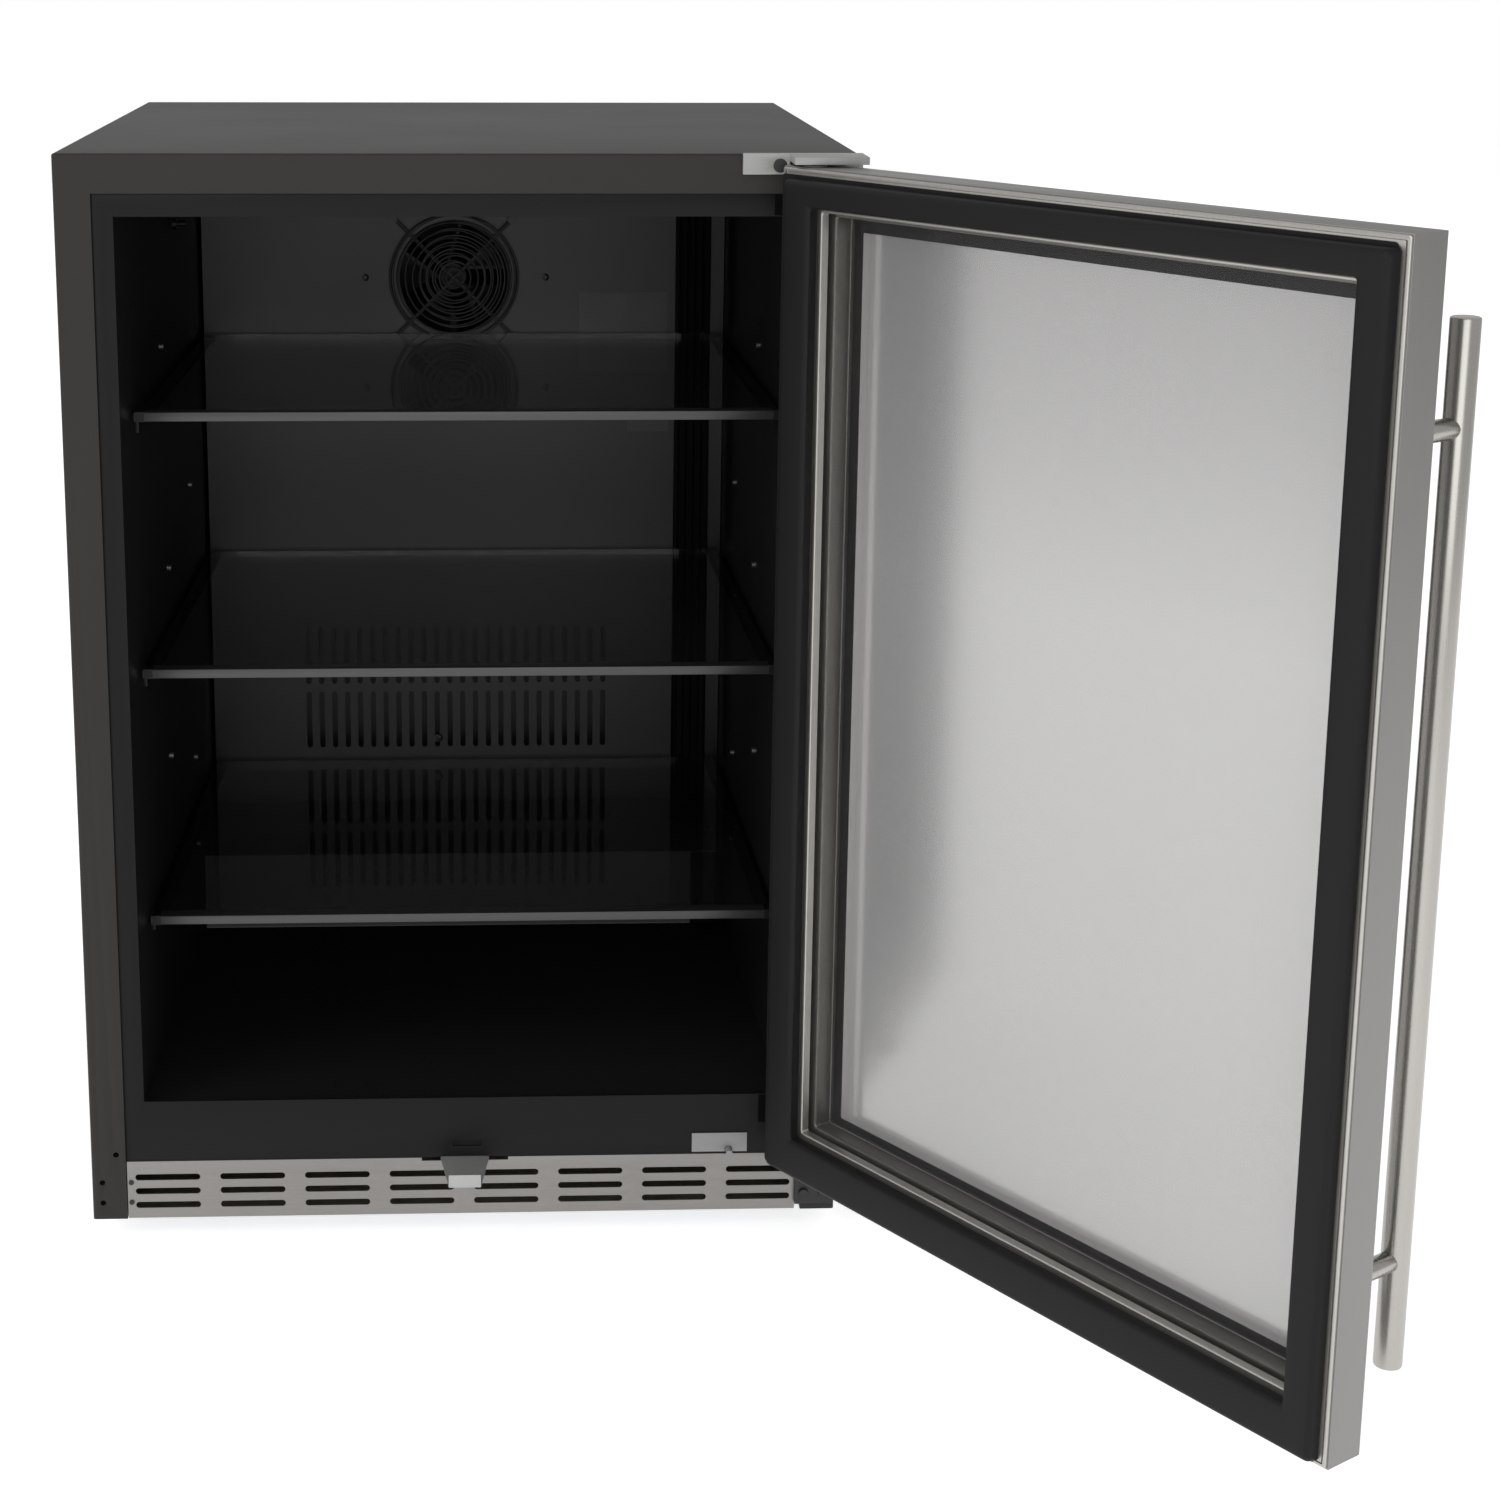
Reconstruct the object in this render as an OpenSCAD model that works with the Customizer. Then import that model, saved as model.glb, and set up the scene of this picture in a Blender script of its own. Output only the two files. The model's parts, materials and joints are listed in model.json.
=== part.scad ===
// Undercounter refrigerator with one glass door, seen standing on its four levelling feet.
// Lengths are in millimetres. The row's origin is on the floor, at the centre of the four feet.
// Most modules are drawn in the cabinet's own frame, in which y = 0 is the plane of the front
// flange, y grows towards the back, and z = 0 is the lower edge of the steel case.
// The door is drawn shut around its hinge axis, and hang() swings it open.

/* [Cabinet] */
// Width of the steel case
case_w = 595; // [480:1:760]
// Height of the steel case, without the feet
case_h = 847; // [700:1:1050]
// Depth of the steel case, without the door
case_d = 600; // [540:1:740]
// Height of the levelling feet below the case
foot_h = 18; // [14:1:40]
// Thickness of the case's sheet steel
sheet = 1.2; // [0.8:0.1:2]
// Width of the front flange at the sides
flange_side = 27.5; // [24:0.5:36]
// Height of the front flange at the top
flange_top = 29.5; // [26:0.5:40]
// Outer bend radius of the case's front and top edges
bend_r = 2.5; // [1.5:0.5:4]

/* [Toe grille] */
// Height of the toe grille
grille_h = 49; // [44:1:70]
// Columns of slots
slot_cols = 8; // [4:1:10]
// Rows of slots
slot_rows = 3; // [2:1:4]
// Height of one slot
slot_t = 5.2; // [3:0.1:7]
// Distance between two rows
slot_row_pitch = 11.9; // [8:0.1:14]
// Bridge between two columns
slot_bridge = 15.9; // [12:0.1:30]

/* [Liner] */
// Width of the gasket landing at each side of the mouth
landing_w = 16; // [12:0.5:24]
// Height of the landing below the mouth, from the grille up
sill_h = 51; // [40:1:70]
// Thickness of the liner's plastic
liner_t = 2.5; // [1.5:0.1:4]
// How much each side wall closes in from front to back
liner_draft = 15; // [4:1:20]
// Insulation at the back of the cold room
foam_back = 43; // [30:1:60]
// Front face of the compressor step
step_y = 400; // [360:1:420]
// Top of the compressor step
step_top = 193; // [180:1:230]
// Chamfer along the step's upper edge
step_chamfer = 26; // [10:1:40]
// Insulation between the step and the machine room
foam_step = 28; // [20:1:36]

/* [Air panel] */
// Depth of the air space behind the panel
air_gap = 75; // [60:1:90]
// Thickness of the panel
panel_t = 2.5; // [1.5:0.1:4]
// Radius of the fan's opening
fan_opening_r = 52; // [40:1:60]
// Slots in one row of vents
vent_count = 24; // [12:1:28]
// Distance between two vents
vent_pitch = 12.1; // [9:0.1:14]
// Width of one vent
vent_w = 5; // [3:0.1:6]
// Height of one vent
vent_h = 55; // [40:1:60]
// Radius of the fan guard's outer ring
guard_r = 57.5; // [54:0.5:68]

/* [Shelves] */
// Room between the highest shelf and the ceiling
shelf_head = 159; // [120:1:220]
// Height of the lowest shelf's top
shelf_low_z = 237; // [215:1:260]
// Thickness of the shelf glass
shelf_t = 5; // [4:0.5:8]
// Front edge of the shelves
shelf_y = 50; // [30:1:80]
// Gap between a shelf and the liner at each side
shelf_gap = 3; // [2:0.5:6]

/* [Door] */
// Height of the door's lower edge above the case's lower edge
door_z0 = 52; // [50:1:60]
// Drop of the door's upper edge below the case's upper edge
door_drop = 7; // [7:0.5:12]
// Thickness of the door without its gasket
door_t = 35; // [30:1:50]
// How much narrower the door is than the case, at each side
door_inset = 18; // [12:0.5:24]
// Gap between the shut door and the front flange
door_gap = 10; // [8:0.5:16]
// Distance from the hinge axis to the door's hinged edge
hinge_in = 18; // [14:0.5:20]
// Distance from the hinge axis to the door's outer face
hinge_front = 19; // [17:0.5:20]
// Angle at which the door stands open
door_open = 124; // [90:1:128]
// Radius of the hinge pins
pin_r = 4; // [3:0.5:6]
// Width of the door's frame beside the window, at the hinged edge
window_hinge = 45; // [42:1:80]
// Width of the door's frame beside the window, at the free edge
window_free = 37; // [32:1:80]
// Height of the door's frame below the window
window_low = 41; // [38:1:80]
// Height of the door's frame above the window
window_high = 31; // [29:1:80]
// Thickness of one pane of glass
pane_t = 4; // [3:0.5:6]

/* [Gasket] */
// Inset of the gasket from the door's hinged edge
gasket_hinge = 10.5; // [10:0.5:14]
// Inset of the gasket from the door's free edge
gasket_free = 7; // [5:0.5:12]
// Inset of the gasket from the door's lower edge
gasket_low = 4; // [3:0.5:10]
// Inset of the gasket from the door's upper edge
gasket_high = 8.5; // [8.5:0.5:12]
// Width of the gasket along the door's hinged edge
gasket_hinge_w = 30; // [20:1:32]
// Width of the gasket along the door's free edge
gasket_free_w = 24; // [20:1:30]
// Width of the gasket at the bottom
gasket_low_w = 32; // [20:1:34]
// Width of the gasket at the top
gasket_high_w = 19; // [15:1:24]
// Radius of the gasket's outer edge
gasket_r = 4.5; // [3:0.1:4.8]

/* [Handle] */
// Radius of the handle's bar
bar_r = 9.5; // [7:0.5:14]
// Height of the bar's lower end above the door's lower edge
bar_low = 36; // [10:1:160]
// Drop of the bar's upper end below the door's upper edge
bar_high = 57; // [10:1:160]
// Distance from the door's face to the bar's middle
bar_out = 52; // [40:1:70]
// Distance from the door's free edge to the bar's middle
bar_in = 23; // [16:1:60]
// Distance of the lower post from the bar's lower end
post_low = 76; // [30:1:140]
// Distance of the upper post from the bar's upper end
post_high = 68; // [30:1:140]
// Radius of one post
post_r = 7; // [5:0.5:9]

/* [Machine room] */
// Radius of the compressor's shell
comp_r = 60; // [50:1:64]
// Height of the compressor's shell
comp_h = 112; // [90:1:118]
// Radius of the condenser fan's blades
cond_fan_r = 58; // [40:1:62]
// Radius of the evaporator fan's blades
evap_fan_r = 48; // [34:1:50]
// Radius of both fans' shafts
shaft_r = 2.5; // [1.5:0.5:4]

/* [Hidden] */
$fn = 64;
fit = 0.2;            // gap between two pieces that only sit next to each other
run = 0.05;           // radial clearance of a shaft in its bore
seal_gap = 0.3;       // what the shut gasket stays clear of the landing
in_w = case_w - 2 * sheet;
mouth_w = case_w - 2 * flange_side;             // between the flange's inner edges
mouth_top = case_h - flange_top;
liner_hw = mouth_w / 2 - landing_w;             // half the width of the liner's mouth
sill_z = grille_h + sill_h;
head_z = mouth_top - landing_w - 1;
floor_z = sill_z - 4;
ceil_z = head_z + 3.5;
frame_y = 1;                                    // front of the plastic face frame
frame_t = 3;
liner_y = frame_y + frame_t + fit;
back_y = case_d - sheet - foam_back - liner_t;  // inner face of the liner's back wall
panel_y = back_y - air_gap;                     // front of the air panel
hem = 8;
room_y = step_y + liner_t + foam_step;          // front of the machine room
room_z = step_top - liner_t - foam_step;        // its ceiling
foam_floor = floor_z - liner_t - 30;            // ceiling of the air way under the cold room
pan_t = 1.5;

door_w = case_w - 2 * door_inset;
door_z1 = case_h - door_drop;
door_h = door_z1 - door_z0;
pivot_x = door_w / 2 - hinge_in;
hinge_back = door_t - hinge_front;              // from the hinge axis to the door's inner face
pivot_y = -door_gap - hinge_back;
gasket_base = 0.1;                              // gap between the gasket and the door's frame
gasket_t = door_gap - seal_gap - gasket_base;
frame_plate = 2;
win_x0 = hinge_in - door_w + window_free;       // window opening, from the hinge axis
win_x1 = hinge_in - window_hinge;
win_z0 = door_z0 + window_low;
win_z1 = door_z1 - window_high;
pane_lap = 10;
pane_seat = 0.3;                                // glue between the outer pane and the skin
spacer_lip = 3.3;                               // how far the spacer stands into the window
pane_v = 6.5;                                   // depth of the inner pane below the inner face
lock_z = door_z0 + 18;
lock_r = 8.5;
cam_l = 28;
cam_t = 4;
cam_v = 12;
lock_x = hinge_in - door_w / 2;

fan_x = -9;
fan_z = ceil_z - 108;
guard_y = panel_y - 6;
evap_motor_y = panel_y + panel_t + 22;
cond_x = -250;
cond_w = 80;
cond_y = room_y + 10;                           // near end of the condenser's tubes
cond_fins = 17;
cond_pitch = 7.2;
cond_l = (cond_fins - 1) * cond_pitch + 5;
cond_fan_x = cond_x + cond_w + 16;
cond_fan_y = (room_y + case_d) / 2;
cond_fan_z = room_z / 2 - 1;
comp_x = 135;
comp_y = (room_y + case_d - sheet) / 2;
foot_x = case_w / 2 - 47.5;
foot_y = case_d / 2 - 95;
foot_r = 16;
knob_x = 45;
knob_y = 285;

// ---------- frames and small helpers ----------

// From the cabinet's frame to the row's frame
module place() { translate([0, -case_d / 2, foot_h]) children(); }

// From the shut door's frame, around the hinge axis, to the open door
module hang() {
    place() translate([pivot_x, pivot_y, 0]) rotate([0, 0, door_open]) children();
}

// A box between two opposite corners
module span(a, b) { translate(a) cube(b - a); }

// A rod along y, z or x, from a point
module rod_y(p, r, l) { translate(p) rotate([-90, 0, 0]) cylinder(r = r, h = l); }
module rod_z(p, r, l) { translate(p) cylinder(r = r, h = l); }
module rod_x(p, r, l) { translate(p) rotate([0, 90, 0]) cylinder(r = r, h = l); }

// A plate in the x-z plane with a slot's outline, cut through along y
module slot_x(x0, x1, z, t, y0, y1) {
    span([x0 + t / 2, y0, z - t / 2], [x1 - t / 2, y1, z + t / 2]);
    for (x = [x0 + t / 2, x1 - t / 2]) rod_y([x, y0, z], t / 2, y1 - y0);
}

// A sharp rectangle whose two corners at low y are round
module round_front(w, d, r) {
    translate([-w / 2, r]) square([w, d - r]);
    translate([-w / 2 + r, 0]) square([w - 2 * r, d - r]);
    for (s = [-1, 1]) translate([s * (w / 2 - r), r]) circle(r);
}

// Half the liner's inner width at depth y
function liner_at(y) = liner_hw - liner_draft * (y - liner_y) / (back_y - liner_y);

// The cold room, grown by g on every side but its mouth
module cold_room(g, front) {
    difference() {
        translate([0, 0, floor_z - g]) linear_extrude(ceil_z - floor_z + 2 * g)
            polygon([[-liner_at(front) - g, front], [liner_at(front) + g, front],
                [liner_at(back_y + g) + g, back_y + g], [-liner_at(back_y + g) - g, back_y + g]]);
        rotate([90, 0, 90]) translate([0, 0, -case_w / 2]) linear_extrude(case_w)
            polygon([[step_y + g, floor_z - g - 1], [step_y + g, step_top - g - step_chamfer],
                [step_y + g + step_chamfer, step_top - g], [back_y + g + 1, step_top - g],
                [back_y + g + 1, floor_z - g - 1]]);
    }
}

// ---------- case ----------

module case_block() {
    intersection() {
        linear_extrude(case_h) round_front(case_w, case_d, bend_r);
        rotate([90, 0, 90]) translate([0, 0, -case_w / 2]) linear_extrude(case_w) union() {
            square([case_d, case_h - bend_r]);
            translate([bend_r, 0]) square([case_d - bend_r, case_h]);
            translate([bend_r, case_h - bend_r]) circle(bend_r);
        }
        translate([0, case_d, 0]) rotate([90, 0, 0]) linear_extrude(case_d)
            translate([0, case_h]) mirror([0, 1]) round_front(case_w, case_h, bend_r);
    }
}

// Left flange holes for hanging the door on the other side, and the hinge screws' holes
spare_x = -case_w / 2 + 8.5;
spare_holes = [[spare_x + 11.4, 55.3], [spare_x, 31.3], [spare_x, 14]];
screw_holes = [[pivot_x + 11, 15], [pivot_x + 27, 15]];
spare_r = 2.3;

module outer_case() {
    color("#403e3b") place() difference() {
        union() {
            difference() {
                case_block();
                span([-in_w / 2, sheet, -1], [in_w / 2, case_d + 1, case_h - sheet]);
                span([-mouth_w / 2, -1, -1], [mouth_w / 2, sheet + 1, mouth_top]);
            }
            difference() {
                span([-mouth_w / 2 - sheet, 0.2, 0], [mouth_w / 2 + sheet, hem, mouth_top + sheet]);
                span([-mouth_w / 2, -1, -1], [mouth_w / 2, hem + 1, mouth_top]);
            }
        }
        for (p = concat(spare_holes, screw_holes)) rod_y([p[0], -1, p[1]], spare_r, hem + 3);
    }
}

module rear_panel() {
    color("#55575a") place()
        span([-in_w / 2 + fit, case_d - sheet, room_z], [in_w / 2 - fit, case_d, case_h - sheet - fit]);
}

inlet_x = 262;
inlet_z = 38;

module rear_cover() {
    color("#4a4c4f") place() difference() {
        span([-in_w / 2 + fit, case_d - 3, pan_t + fit], [in_w / 2 - fit, case_d - 3 + sheet, room_z - fit]);
        for (i = [0:13], j = [0:3])
            slot_x(-120 + i * 26, -120 + i * 26 + 20, 40 + j * 22, 5, case_d - 5, case_d);
        span([inlet_x - 14, case_d - 5, inlet_z - 12], [inlet_x + 14, case_d, inlet_z + 12]);
        for (s = [-1, 1], z = [12, room_z - 12]) rod_y([s * (in_w / 2 - 12), case_d - 5, z], 2, 6);
    }
}

module base_pan() {
    color("#7c7f82") place() difference() {
        span([-in_w / 2 + fit, hem + fit, 0], [in_w / 2 - fit, case_d - 3 - fit, pan_t]);
        for (sx = [-1, 1], sy = [-1, 1])
            rod_z([sx * foot_x, case_d / 2 + sy * foot_y, -1], 5.1, 4);
    }
}

foam_gap = 0.05;      // between the liner and its foam

module foam_body() {
    color("#d8cba0") place() difference() {
        span([-in_w / 2, hem + fit, foam_floor], [in_w / 2, case_d - sheet, case_h - sheet]);
        cold_room(liner_t + foam_gap, liner_y - 1);
        span([-in_w / 2 - 1, room_y, foam_floor - 1], [in_w / 2 + 1, case_d, room_z]);
    }
}

module inner_liner() {
    color("#262626") place() difference() {
        cold_room(liner_t, liner_y);
        cold_room(0, liner_y - 1);
    }
}

slot_mouth = [-9.5, 13, 58.5, 62.5];

module face_frame() {
    color("#2a2a2a") place() difference() {
        span([-mouth_w / 2 + fit, frame_y, grille_h + fit],
            [mouth_w / 2 - fit, frame_y + frame_t, mouth_top - fit]);
        span([-liner_hw, frame_y - 1, sill_z], [liner_hw, frame_y + frame_t + 1, head_z]);
        span([slot_mouth[0], frame_y - 1, slot_mouth[2]], [slot_mouth[1], frame_y + 2, slot_mouth[3]]);
        span([-strike_w / 2 - 1, frame_y - 1, grille_h - 1],
            [strike_w / 2 + 1, frame_y + frame_t + 1, grille_h + 1]);
        rod_y([plunger_x, frame_y - 1, plunger_z], plunger_r + 0.4, frame_t + 2);
    }
}

// Black corner pieces of the landing at the hinged side
cap_x = liner_hw - 19;
module corner_caps() {
    color("#0c0c0c") place() {
        span([cap_x, frame_y - 0.6, head_z + 1], [mouth_w / 2 - 1, frame_y, mouth_top - 1]);
        span([cap_x, frame_y - 0.6, sill_z - 24], [mouth_w / 2 - 1, frame_y, sill_z - 1]);
    }
}

// ---------- toe grille and feet ----------

strike_notch = 69;                // notch in the grille's upper edge, where the strike comes out
grille_x0 = -mouth_w / 2 + 0.7;
grille_x1 = mouth_w / 2 - 4.6;
notch_x = pivot_x - 9.5;
slot_z = 11.6;                    // middle of the lowest row of slots
notch_z = slot_z + (slot_rows - 1) * slot_row_pitch - slot_t / 2 + 0.4;
slot_edge = 6.3;
slot_end = 4;
slot_l = (grille_x1 - grille_x0 - slot_edge - slot_end - slot_bridge * (slot_cols - 1)) / slot_cols;

module toe_grille() {
    color("#a09e9a") place() difference() {
        union() {
            span([grille_x0, 0.6, 0.4], [grille_x1, 0.6 + sheet, grille_h]);
            span([grille_x0, 0.6, grille_h - sheet], [grille_x1, 14, grille_h]);
        }
        for (i = [0:slot_cols - 1], j = [0:slot_rows - 1]) {
            x0 = grille_x0 + slot_edge + i * (slot_l + slot_bridge);
            slot_x(x0, x0 + slot_l, slot_z + j * slot_row_pitch, slot_t, -1, 4);
        }
        span([notch_x, -1, notch_z], [grille_x1 + 1, 15, grille_h + 1]);
        span([-strike_notch / 2, -1, grille_h - 2.7], [strike_notch / 2, 15, grille_h + 1]);
        for (z = [14, 31]) rod_y([grille_x0 + 3, -1, z], 1.2, 4);
    }
}

module grille_screws() {
    color("#1c1c1c") place() for (z = [14, 31]) {
        rod_y([grille_x0 + 3, 0, z], 2, 0.6);
        rod_y([grille_x0 + 3, 0.6, z], 1.15, 8);
    }
}

module levelling_feet() {
    color("#202020") place() for (sx = [-1, 1], sy = [-1, 1])
        translate([sx * foot_x, case_d / 2 + sy * foot_y, 0]) {
            translate([0, 0, -foot_h]) cylinder(r = foot_r, h = foot_h - 8);
            translate([0, 0, -8]) cylinder(r = 8, h = 5, $fn = 6);
            translate([0, 0, -3]) cylinder(r = 5, h = pan_t + 5.5);
        }
}

// ---------- air panel, evaporator and its fan ----------

vent_rows = [step_top + 82, step_top + 145];

module evaporator_cover() {
    color("#3a3a3a") place() difference() {
        span([-liner_at(panel_y) + 3.5, panel_y, step_top + 0.5],
            [liner_at(panel_y) - 1, panel_y + panel_t, ceil_z - 0.5]);
        rod_y([fan_x, panel_y - 1, fan_z], fan_opening_r, panel_t + 2);
        for (i = [0:vent_count - 1], z = vent_rows)
            vent(fan_x + (i - (vent_count - 1) / 2) * vent_pitch, z);
        for (p = cover_screw_at) rod_y([p[0], panel_y - 1, p[1]], 2, panel_t + 2);
    }
}

module vent(x, z) {
    span([x - vent_w / 2, panel_y - 1, z - vent_h / 2 + vent_w / 2],
        [x + vent_w / 2, panel_y + panel_t + 1, z + vent_h / 2 - vent_w / 2]);
    for (s = [-1, 1])
        rod_y([x, panel_y - 1, z + s * (vent_h - vent_w) / 2], vent_w / 2, panel_t + 2);
}

// Screws of the panel: beside the fan, and one between the two rows of vents
cover_screw_at = [[fan_x - 82.5, fan_z], [fan_x + 82.5, fan_z], [fan_x - 18.5, vent_rows[0] - vent_h / 2 + 9]];

module cover_screws() {
    color("#0e0e0e") place() for (p = cover_screw_at) {
        rod_y([p[0], panel_y - 1.4, p[1]], 3.4, 1.4);
        rod_y([p[0], panel_y, p[1]], 1.9, 12);
    }
}

guard_arm = guard_r + 18.5;
ring_count = 8;

module fan_guard() {
    color("#151515") place() translate([fan_x, guard_y, fan_z]) rotate([-90, 0, 0]) {
        for (i = [1:ring_count]) rotate_extrude()
            translate([guard_r * (i + 0.35) / (ring_count + 0.35), 0]) circle(r = 0.9, $fn = 24);
        for (a = [45, 135]) rotate([0, 0, a]) translate([-guard_arm, 0, 1])
            rotate([0, 90, 0]) cylinder(r = 1.1, h = 2 * guard_arm, $fn = 24);
        for (a = [45:90:315]) rotate([0, 0, a]) translate([guard_arm, 0, -0.6])
            cylinder(r = 3.6, h = panel_y - guard_y + 0.6);
    }
}

// A fan wheel around +z: hub with a through bore, and tilted blades
module fan_wheel(r, hub_r, h, blades) {
    difference() {
        union() {
            cylinder(r = hub_r, h = h);
            intersection() {
                translate([0, 0, 1]) cylinder(r = r, h = h - 2);
                for (i = [0:blades - 1]) rotate([0, 0, i * 360 / blades])
                    translate([hub_r - 2, 0, h / 2]) rotate([36, 0, 0])
                        translate([0, -h * 1.15, -0.9]) cube([r, h * 2.3, 1.8]);
            }
        }
        translate([0, 0, -1]) cylinder(r = shaft_r + run, h = h + 2);
    }
}

evap_wheel_h = 14;

module evap_fan_blade() {
    color("#2b2b2b") place() translate([fan_x, panel_y + panel_t + 4, fan_z]) rotate([-90, 0, 0])
        fan_wheel(evap_fan_r, 12, evap_wheel_h, 5);
}

module evap_fan_motor() {
    color("#5b5d60") place() {
        rod_y([fan_x, evap_motor_y, fan_z], 21, 28);
        rod_y([fan_x, panel_y + panel_t + 3, fan_z], shaft_r, evap_motor_y - panel_y - panel_t - 2.5);
        for (a = [90:120:330]) translate([fan_x, 0, fan_z]) rotate([0, a, 0]) {
            span([18, evap_motor_y + 4, -3], [fan_opening_r + 10, evap_motor_y + 8, 3]);
            rod_y([fan_opening_r + 7, panel_y + panel_t, 0], 3, evap_motor_y - panel_y - panel_t + 8);
        }
    }
}

evap_z0 = step_top + 150;
evap_z1 = fan_z - 95;

module evaporator() {
    color("#b9bcc0") place() {
        for (i = [0:23]) span([-200 + i * 15, panel_y + panel_t + 14, evap_z0],
            [-199 + i * 15, back_y - 8, evap_z1]);
        for (j = [0:3], y = [panel_y + panel_t + 26, back_y - 20])
            rod_x([-212, y, evap_z0 + 24 + j * (evap_z1 - evap_z0 - 48) / 3], 4, 370);
        for (j = [0:3], x = [-212, 158]) rod_y([x, panel_y + panel_t + 26,
            evap_z0 + 24 + j * (evap_z1 - evap_z0 - 48) / 3], 4, air_gap - panel_t - 46);
    }
}

duct_w = 32;
duct_side = 1.7;                  // gap between the lower duct and the liner's side wall
duct_low_x = liner_at(step_y) - duct_side - duct_w;
duct_x0 = duct_low_x - 14;
duct_t = 6;

// Ribbed cover of the wiring: down the air panel, then down the step's front
module wire_duct() {
    color("#0a0a0a") place() {
        difference() {
            span([duct_x0, panel_y - duct_t, step_top + 1], [duct_x0 + duct_w, panel_y, ceil_z - 1]);
            for (i = [0:3]) span([duct_x0 + 4 + i * 7, panel_y - duct_t - 1, step_top + 6],
                [duct_x0 + 7 + i * 7, panel_y - duct_t + 2.5, ceil_z - 6]);
        }
        difference() {
            span([duct_low_x, step_y - duct_t, floor_z + 0.5],
                [duct_low_x + duct_w, step_y, step_top - step_chamfer - 1]);
            for (i = [0:3]) span([duct_low_x + 4 + i * 7, step_y - duct_t - 1, floor_z + 5],
                [duct_low_x + 7 + i * 7, step_y - duct_t + 2.5, step_top - step_chamfer - 6]);
        }
    }
}

module label_plates() {
    color("#34373c") place() {
        span([fan_x + 116, panel_y - 0.6, fan_z - 53], [fan_x + 197, panel_y, fan_z - 14]);
        span([fan_x + 161, panel_y - 0.6, fan_z - 144], [fan_x + 199, panel_y, fan_z - 124]);
    }
}

// ---------- thermostat, probe and lamp ----------

box_z = ceil_z - 21;

module thermostat_box() {
    color("#1e1e1e") place() {
        span([-75, knob_y - 45, box_z], [75, knob_y + 45, ceil_z]);
        rod_z([knob_x, knob_y, box_z - 8.6], 3, 9.6);
    }
}

module thermostat_knob() {
    color("#c9c9c6") place() translate([knob_x, knob_y, box_z - 10]) difference() {
        union() {
            cylinder(r = 15, h = 3);
            translate([0, 0, 3]) cylinder(r = 12, h = 6.6);
        }
        translate([0, 0, 1]) cylinder(r = 3 + run, h = 12);
        translate([0, 9, -1]) cylinder(r = 1.4, h = 2.2);
    }
}

module temp_probe() {
    color("#1a1a1a") place() {
        rod_x([-liner_at(300) + 2, 300, ceil_z - 40], 2.5, 12);
        rod_x([-liner_at(300) + 2, 300, ceil_z - 40], 5, 4);
    }
}

module lamp_lens() {
    color("#e8e8e4") place() span([-150, 120, ceil_z - 11], [150, 146, ceil_z]);
}

// ---------- shelves ----------

shelf_rear = panel_y - duct_t - 1;
rail_t = 3;
rail_h = 14;

shelf_pitch = (ceil_z - shelf_head - shelf_low_z) / 2;
function shelf_top(n) = shelf_low_z + (3 - n) * shelf_pitch;
function shelf_hw(y) = liner_at(y) - shelf_gap - rail_t;

// Side rails under each shelf, drilled with round holes
module shelf_rails() {
    color("#121212") place() for (n = [1:3], s = [-1, 1]) difference() {
        z = shelf_top(n) - shelf_t;
        translate([0, 0, z - rail_h]) linear_extrude(rail_h)
            polygon([for (p = [[liner_at(shelf_y + 22) - fit, shelf_y + 22],
                [liner_at(shelf_rear) - fit, shelf_rear],
                [liner_at(shelf_rear) - rail_w, shelf_rear],
                [liner_at(shelf_y + 22) - rail_w, shelf_y + 22]]) [s * p[0], p[1]]]);
        translate([0, 0, z - rail_h - 1]) linear_extrude(rail_h - 1.5)
            polygon([for (p = [[liner_at(shelf_y + 21) - rail_t, shelf_y + 21],
                [liner_at(shelf_rear + 1) - rail_t, shelf_rear + 1],
                [liner_at(shelf_rear + 1) - rail_w - 1, shelf_rear + 1],
                [liner_at(shelf_y + 21) - rail_w - 1, shelf_y + 21]]) [s * p[0], p[1]]]);
        for (i = [0:5]) rod_z([s * (liner_at(250 + i * 14) - rail_w / 2 - 1.5), 250 + i * 14, z - 4], 2.2, 6);
    }
}
rail_w = 14;

// Bright studs on the side walls, on which the rails can be hung at other heights
pin_places = [[fan_z - 24, 215], [fan_z - 170, 365], [fan_z - 212, 220],
    [fan_z - 370, 200], [fan_z - 418, 352]];

module shelf_pins() {
    color("#cfcfcf") place() for (p = pin_places, s = [-1, 1])
        rod_x([s > 0 ? liner_at(p[1]) - 3.6 : -liner_at(p[1]) + fit, p[1], p[0]], 2.6, 3.4);
}

module shelf_outline(inset) {
    polygon([[-shelf_hw(shelf_y) + inset, shelf_y + inset], [shelf_hw(shelf_y) - inset, shelf_y + inset],
        [shelf_hw(shelf_rear) - inset, shelf_rear - inset],
        [-shelf_hw(shelf_rear) + inset, shelf_rear - inset]]);
}

module shelf_glass(n) {
    color([0.6, 0.65, 0.66, 0.5]) place()
        translate([0, 0, shelf_top(n) - shelf_t]) linear_extrude(shelf_t) difference() {
            shelf_outline(0);
            translate([-case_w / 2, 0]) square([case_w, shelf_y + 4]);
        }
}

// Aluminium channel along the front edge, closed by a dark cap at each end
trim_h = 7;
module shelf_trim(n) {
    color("#b5b5b5") place() difference() {
        span([-liner_at(shelf_y) + shelf_gap, shelf_y - 2, shelf_top(n) + 1 - trim_h],
            [liner_at(shelf_y) - shelf_gap, shelf_y + 12, shelf_top(n) + 1]);
        span([-case_w, shelf_y + 4, shelf_top(n) - shelf_t], [case_w, shelf_y + 20, shelf_top(n)]);
    }
}

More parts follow.
